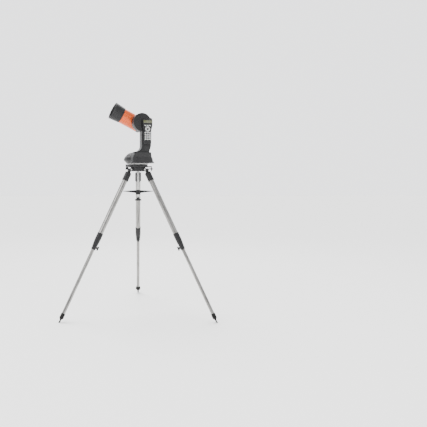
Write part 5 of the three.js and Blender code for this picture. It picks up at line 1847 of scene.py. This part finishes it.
def holder_screw():
    """The bright thumb screw that clamps the eyepiece in its holder."""
    axes = tube_axes().inverted() @ eyepiece_axes()
    head = softened(cut_out("eyepiece_clamp_screw", fluted(4.2, 0.5, 14), 24.5, 32), 0.5, 2)
    joined(head, rod("shank", 1.8, 17, 25, 24))
    lean = axes @ Matrix.Translation((0, 0, 0.034)) @ Matrix.Rotation(math.radians(90), 4, "X")
    return placed(head, lean)


def focus_knob(sizes):
    """A knurled rubber knob on the focus shaft."""
    low, high = measured("focus_knob", tube_axes())
    radius = (high.x - low.x) / 2
    front = low.z + 20
    knob = cut_out("focus_knob", fluted(radius, sizes.knurl_depth * 1.6, 24, 6), low.z + 1.5, front)
    softened(knob, 0.4, 1, 50)
    cap = turned("cap", [(0, low.z), (radius - 2.4, low.z), (radius - 1.4, low.z + 2), (0, low.z + 2)], 48)
    joined(knob, cap, rod("shaft", 3, front - 1, high.z, 24))
    return moved(knob, x=(low.x + high.x) / 2)


def eyepiece(sizes):
    """A push-fit eyepiece: a bright-edged barrel, a knurled body and a turned-up eyecup."""
    low, high = measured("eyepiece", eyepiece_axes())
    top, end, cup = low.z + 20, high.z, high.x
    profile = [(12.8, low.z), (15.2, low.z), (15.8, low.z + 0.8), (15.8, low.z + 8), (15.3, low.z + 9)]
    profile += [(15.3, low.z + 12), (15.8, low.z + 13), (15.8, top), (16.6, top), (17, top + 0.5)]
    profile += ringed(17, top + 3, top + 19, 8, sizes.knurl_depth)
    profile += [(17, top + 22), (17.6, top + 25), (cup - 1.2, top + 30), (cup - 0.6, top + 36)]
    profile += [(cup, end - 1.2), (cup - 0.6, end), (cup - 2.6, end), (cup - 4, end - 1), (12.6, end - 6)]
    profile += [(10.8, end - 8), (10.8, low.z + 12), (12.8, low.z + 12)]
    return turned("eyepiece", profile, 96)


def eyepiece_lens():
    """The eye lens, a shallow dome set in the eyecup."""
    base = measured("eyepiece", eyepiece_axes())[1].z - 14
    dome = [(10.6 * math.cos(a), base + 2 * math.sin(a)) for a in (math.radians(15 * k) for k in range(7))]
    return turned("eyepiece_lens", [(0, base - 2), (10.6, base - 2)] + dome[:-1] + [(0, base + 2)], 60)


def altitude_saddle():
    """The cradle bolted to the tube's side, with the altitude shaft standing on it."""
    return softened_node("altitude_saddle", "saddle", 0.8, 2)


class MakeTelescope(bpy.types.Operator):
    """Make the telescope: saddle, tube, cells, glass, focus knob and eyepiece"""

    bl_idname = "tracker.telescope"
    bl_label = "Telescope"

    def execute(self, context):
        sizes = context.scene.tracker_telescope
        handed_over(altitude_saddle(), "telescope", "cast_black", "altitude_saddle")
        handed_over_at(
            tube_axes(),
            (optical_tube(), "telescope", "orange_tube", "optical_tube"),
            (front_cell(), "telescope", "black_plastic", "front_cell"),
            (retaining_ring(), "telescope", "black_plastic"),
            (corrector_lens(), "telescope", "coated_glass", "corrector_lens"),
            (secondary_holder(), "telescope", "black_plastic"),
            (primary_mirror(), "telescope", "mirror_coat", "primary_mirror"),
            (rear_cell(), "telescope", "black_plastic", "rear_cell"),
            (cell_screws(sizes), "telescope", "steel_hardware"),
            (holder_screw(), "telescope", "steel_hardware"),
            (focus_knob(sizes), "focus_knob", "black_rubber", "focus_knob"),
        )
        handed_over_at(
            eyepiece_axes(),
            (eyepiece(sizes), "eyepiece", "black_plastic", "eyepiece"),
            (eyepiece_lens(), "eyepiece", "coated_glass"),
        )
        return {"FINISHED"}


# ---------- Stage ----------
WALL_BRIGHT = 2.5
WALL_DIM = 1.0
OVERHEAD_STRENGTH = 4.6
STAGE_WIDTH = 60.0
CAMERA_PLACE = (0.0, -4.073, 1.031)
CAMERA_PITCH = 86.2
CAMERA_LENS = 42.3
CAMERA_SHIFT = 0.1766


def area_light(name, place, aim, size, power):
    """An area light that points at its target."""
    light = bpy.data.lights.new(name, "AREA")
    light.shape = "RECTANGLE"
    light.size, light.size_y = size
    light.energy = power
    lamp = bpy.data.objects.new(name, light)
    bpy.context.scene.collection.objects.link(lamp)
    lamp.location = place
    lamp.rotation_euler = (Vector(aim) - Vector(place)).to_track_quat("-Z", "Y").to_euler()
    return lamp


def studio_backdrop():
    """A wide pale floor."""
    deselect()
    bpy.ops.mesh.primitive_plane_add(size=1)
    sweep = bpy.context.object
    sweep.name = "studio_floor"
    sweep.scale = (STAGE_WIDTH, STAGE_WIDTH, 1)
    bpy.ops.object.transform_apply(location=True, rotation=True, scale=True)
    sweep.data.materials.append(studio_floor("studio_floor", bpy.context.scene.tracker_finishes.floor))
    return sweep


def studio_world():
    """A white room, brightest behind the object and dimmer on the camera's side."""
    world = bpy.data.worlds.new("studio")
    world.use_nodes = True
    nodes, links = world.node_tree.nodes, world.node_tree.links
    direction = nodes.new("ShaderNodeTexCoord")
    parts = nodes.new("ShaderNodeSeparateXYZ")
    brightness = nodes.new("ShaderNodeMapRange")
    brightness.interpolation_type = "SMOOTHSTEP"
    for socket, amount in zip(
        ("From Min", "From Max", "To Min", "To Max"), (-0.2, 0.75, WALL_DIM, WALL_BRIGHT)
    ):
        brightness.inputs[socket].default_value = amount
    links.new(direction.outputs["Generated"], parts.inputs[0])
    links.new(parts.outputs["Y"], brightness.inputs["Value"])
    background = nodes["Background"]
    background.inputs["Color"].default_value = (0.98, 0.985, 1.0, 1)
    links.new(brightness.outputs["Result"], background.inputs["Strength"])
    return world



class MakeStage(bpy.types.Operator):
    """Make the floor, the studio lights and the camera"""

    bl_idname = "tracker.stage"
    bl_label = "Stage"

    def execute(self, context):
        studio_backdrop()
        area_light("key", (-2.6, -3.2, 3.6), (0, 0, 1.0), (2.4, 2.4), 110)
        area_light("fill", (3.2, -2.6, 2.2), (0, 0, 0.9), (2.2, 2.8), 30)
        area_light("back", (0.6, 3.0, 3.4), (0, 0, 1.1), (3.0, 1.4), 60)
        context.scene.world = studio_world()
        overhead = bpy.data.objects.new("overhead", bpy.data.lights.new("overhead", "SUN"))
        overhead.data.energy = OVERHEAD_STRENGTH
        overhead.data.angle = math.radians(40)
        overhead.rotation_euler = (math.radians(-20), math.radians(-15), 0)
        context.scene.collection.objects.link(overhead)
        camera = bpy.data.cameras.new("camera")
        camera.lens = CAMERA_LENS
        camera.shift_x = CAMERA_SHIFT
        eye = bpy.data.objects.new("camera", camera)
        context.scene.collection.objects.link(eye)
        eye.location = CAMERA_PLACE
        eye.rotation_euler = (math.radians(CAMERA_PITCH), 0, 0)
        context.scene.camera = eye
        return {"FINISHED"}


# ---------- The add-on ----------
class TrackerPanel(bpy.types.Panel):
    """Lists the pieces in the order in which they are made."""

    bl_idname = "VIEW3D_PT_tracker"
    bl_label = "Star tracker"
    bl_space_type = "VIEW_3D"
    bl_region_type = "UI"
    bl_category = "Star tracker"

    def draw(self, context):
        for group in SETTINGS:
            box = self.layout.box()
            for name in getattr(context.scene, group).bl_rna.properties.keys():
                if name not in ("rna_type", "name"):
                    box.prop(getattr(context.scene, group), name)
        for operator in OPERATORS:
            self.layout.operator(operator.bl_idname)


OPERATORS = (
    MakeStage,
    MakeLegs,
    MakeHeadAndBrace,
    MakeWedge,
    MakeBase,
    MakeArm,
    FinishDrives,
    MakeHandControl,
    MakeTelescope,
)

SETTINGS = {
    "tracker_tripod": TripodSizes,
    "tracker_mount": MountSizes,
    "tracker_control": ControlSizes,
    "tracker_telescope": TelescopeSizes,
    "tracker_finishes": FinishColours,
}


def register():
    for group, kind in SETTINGS.items():
        bpy.utils.register_class(kind)
        setattr(bpy.types.Scene, group, bpy.props.PointerProperty(type=kind))
    for kind in (*OPERATORS, TrackerPanel):
        bpy.utils.register_class(kind)


def unregister():
    for kind in (TrackerPanel, *reversed(OPERATORS)):
        bpy.utils.unregister_class(kind)
    for group, kind in SETTINGS.items():
        delattr(bpy.types.Scene, group)
        bpy.utils.unregister_class(kind)


def main():
    register()
    for operator in OPERATORS:
        family, action = operator.bl_idname.split(".")
        getattr(getattr(bpy.ops, family), action)()


if __name__ == "__main__":
    main()
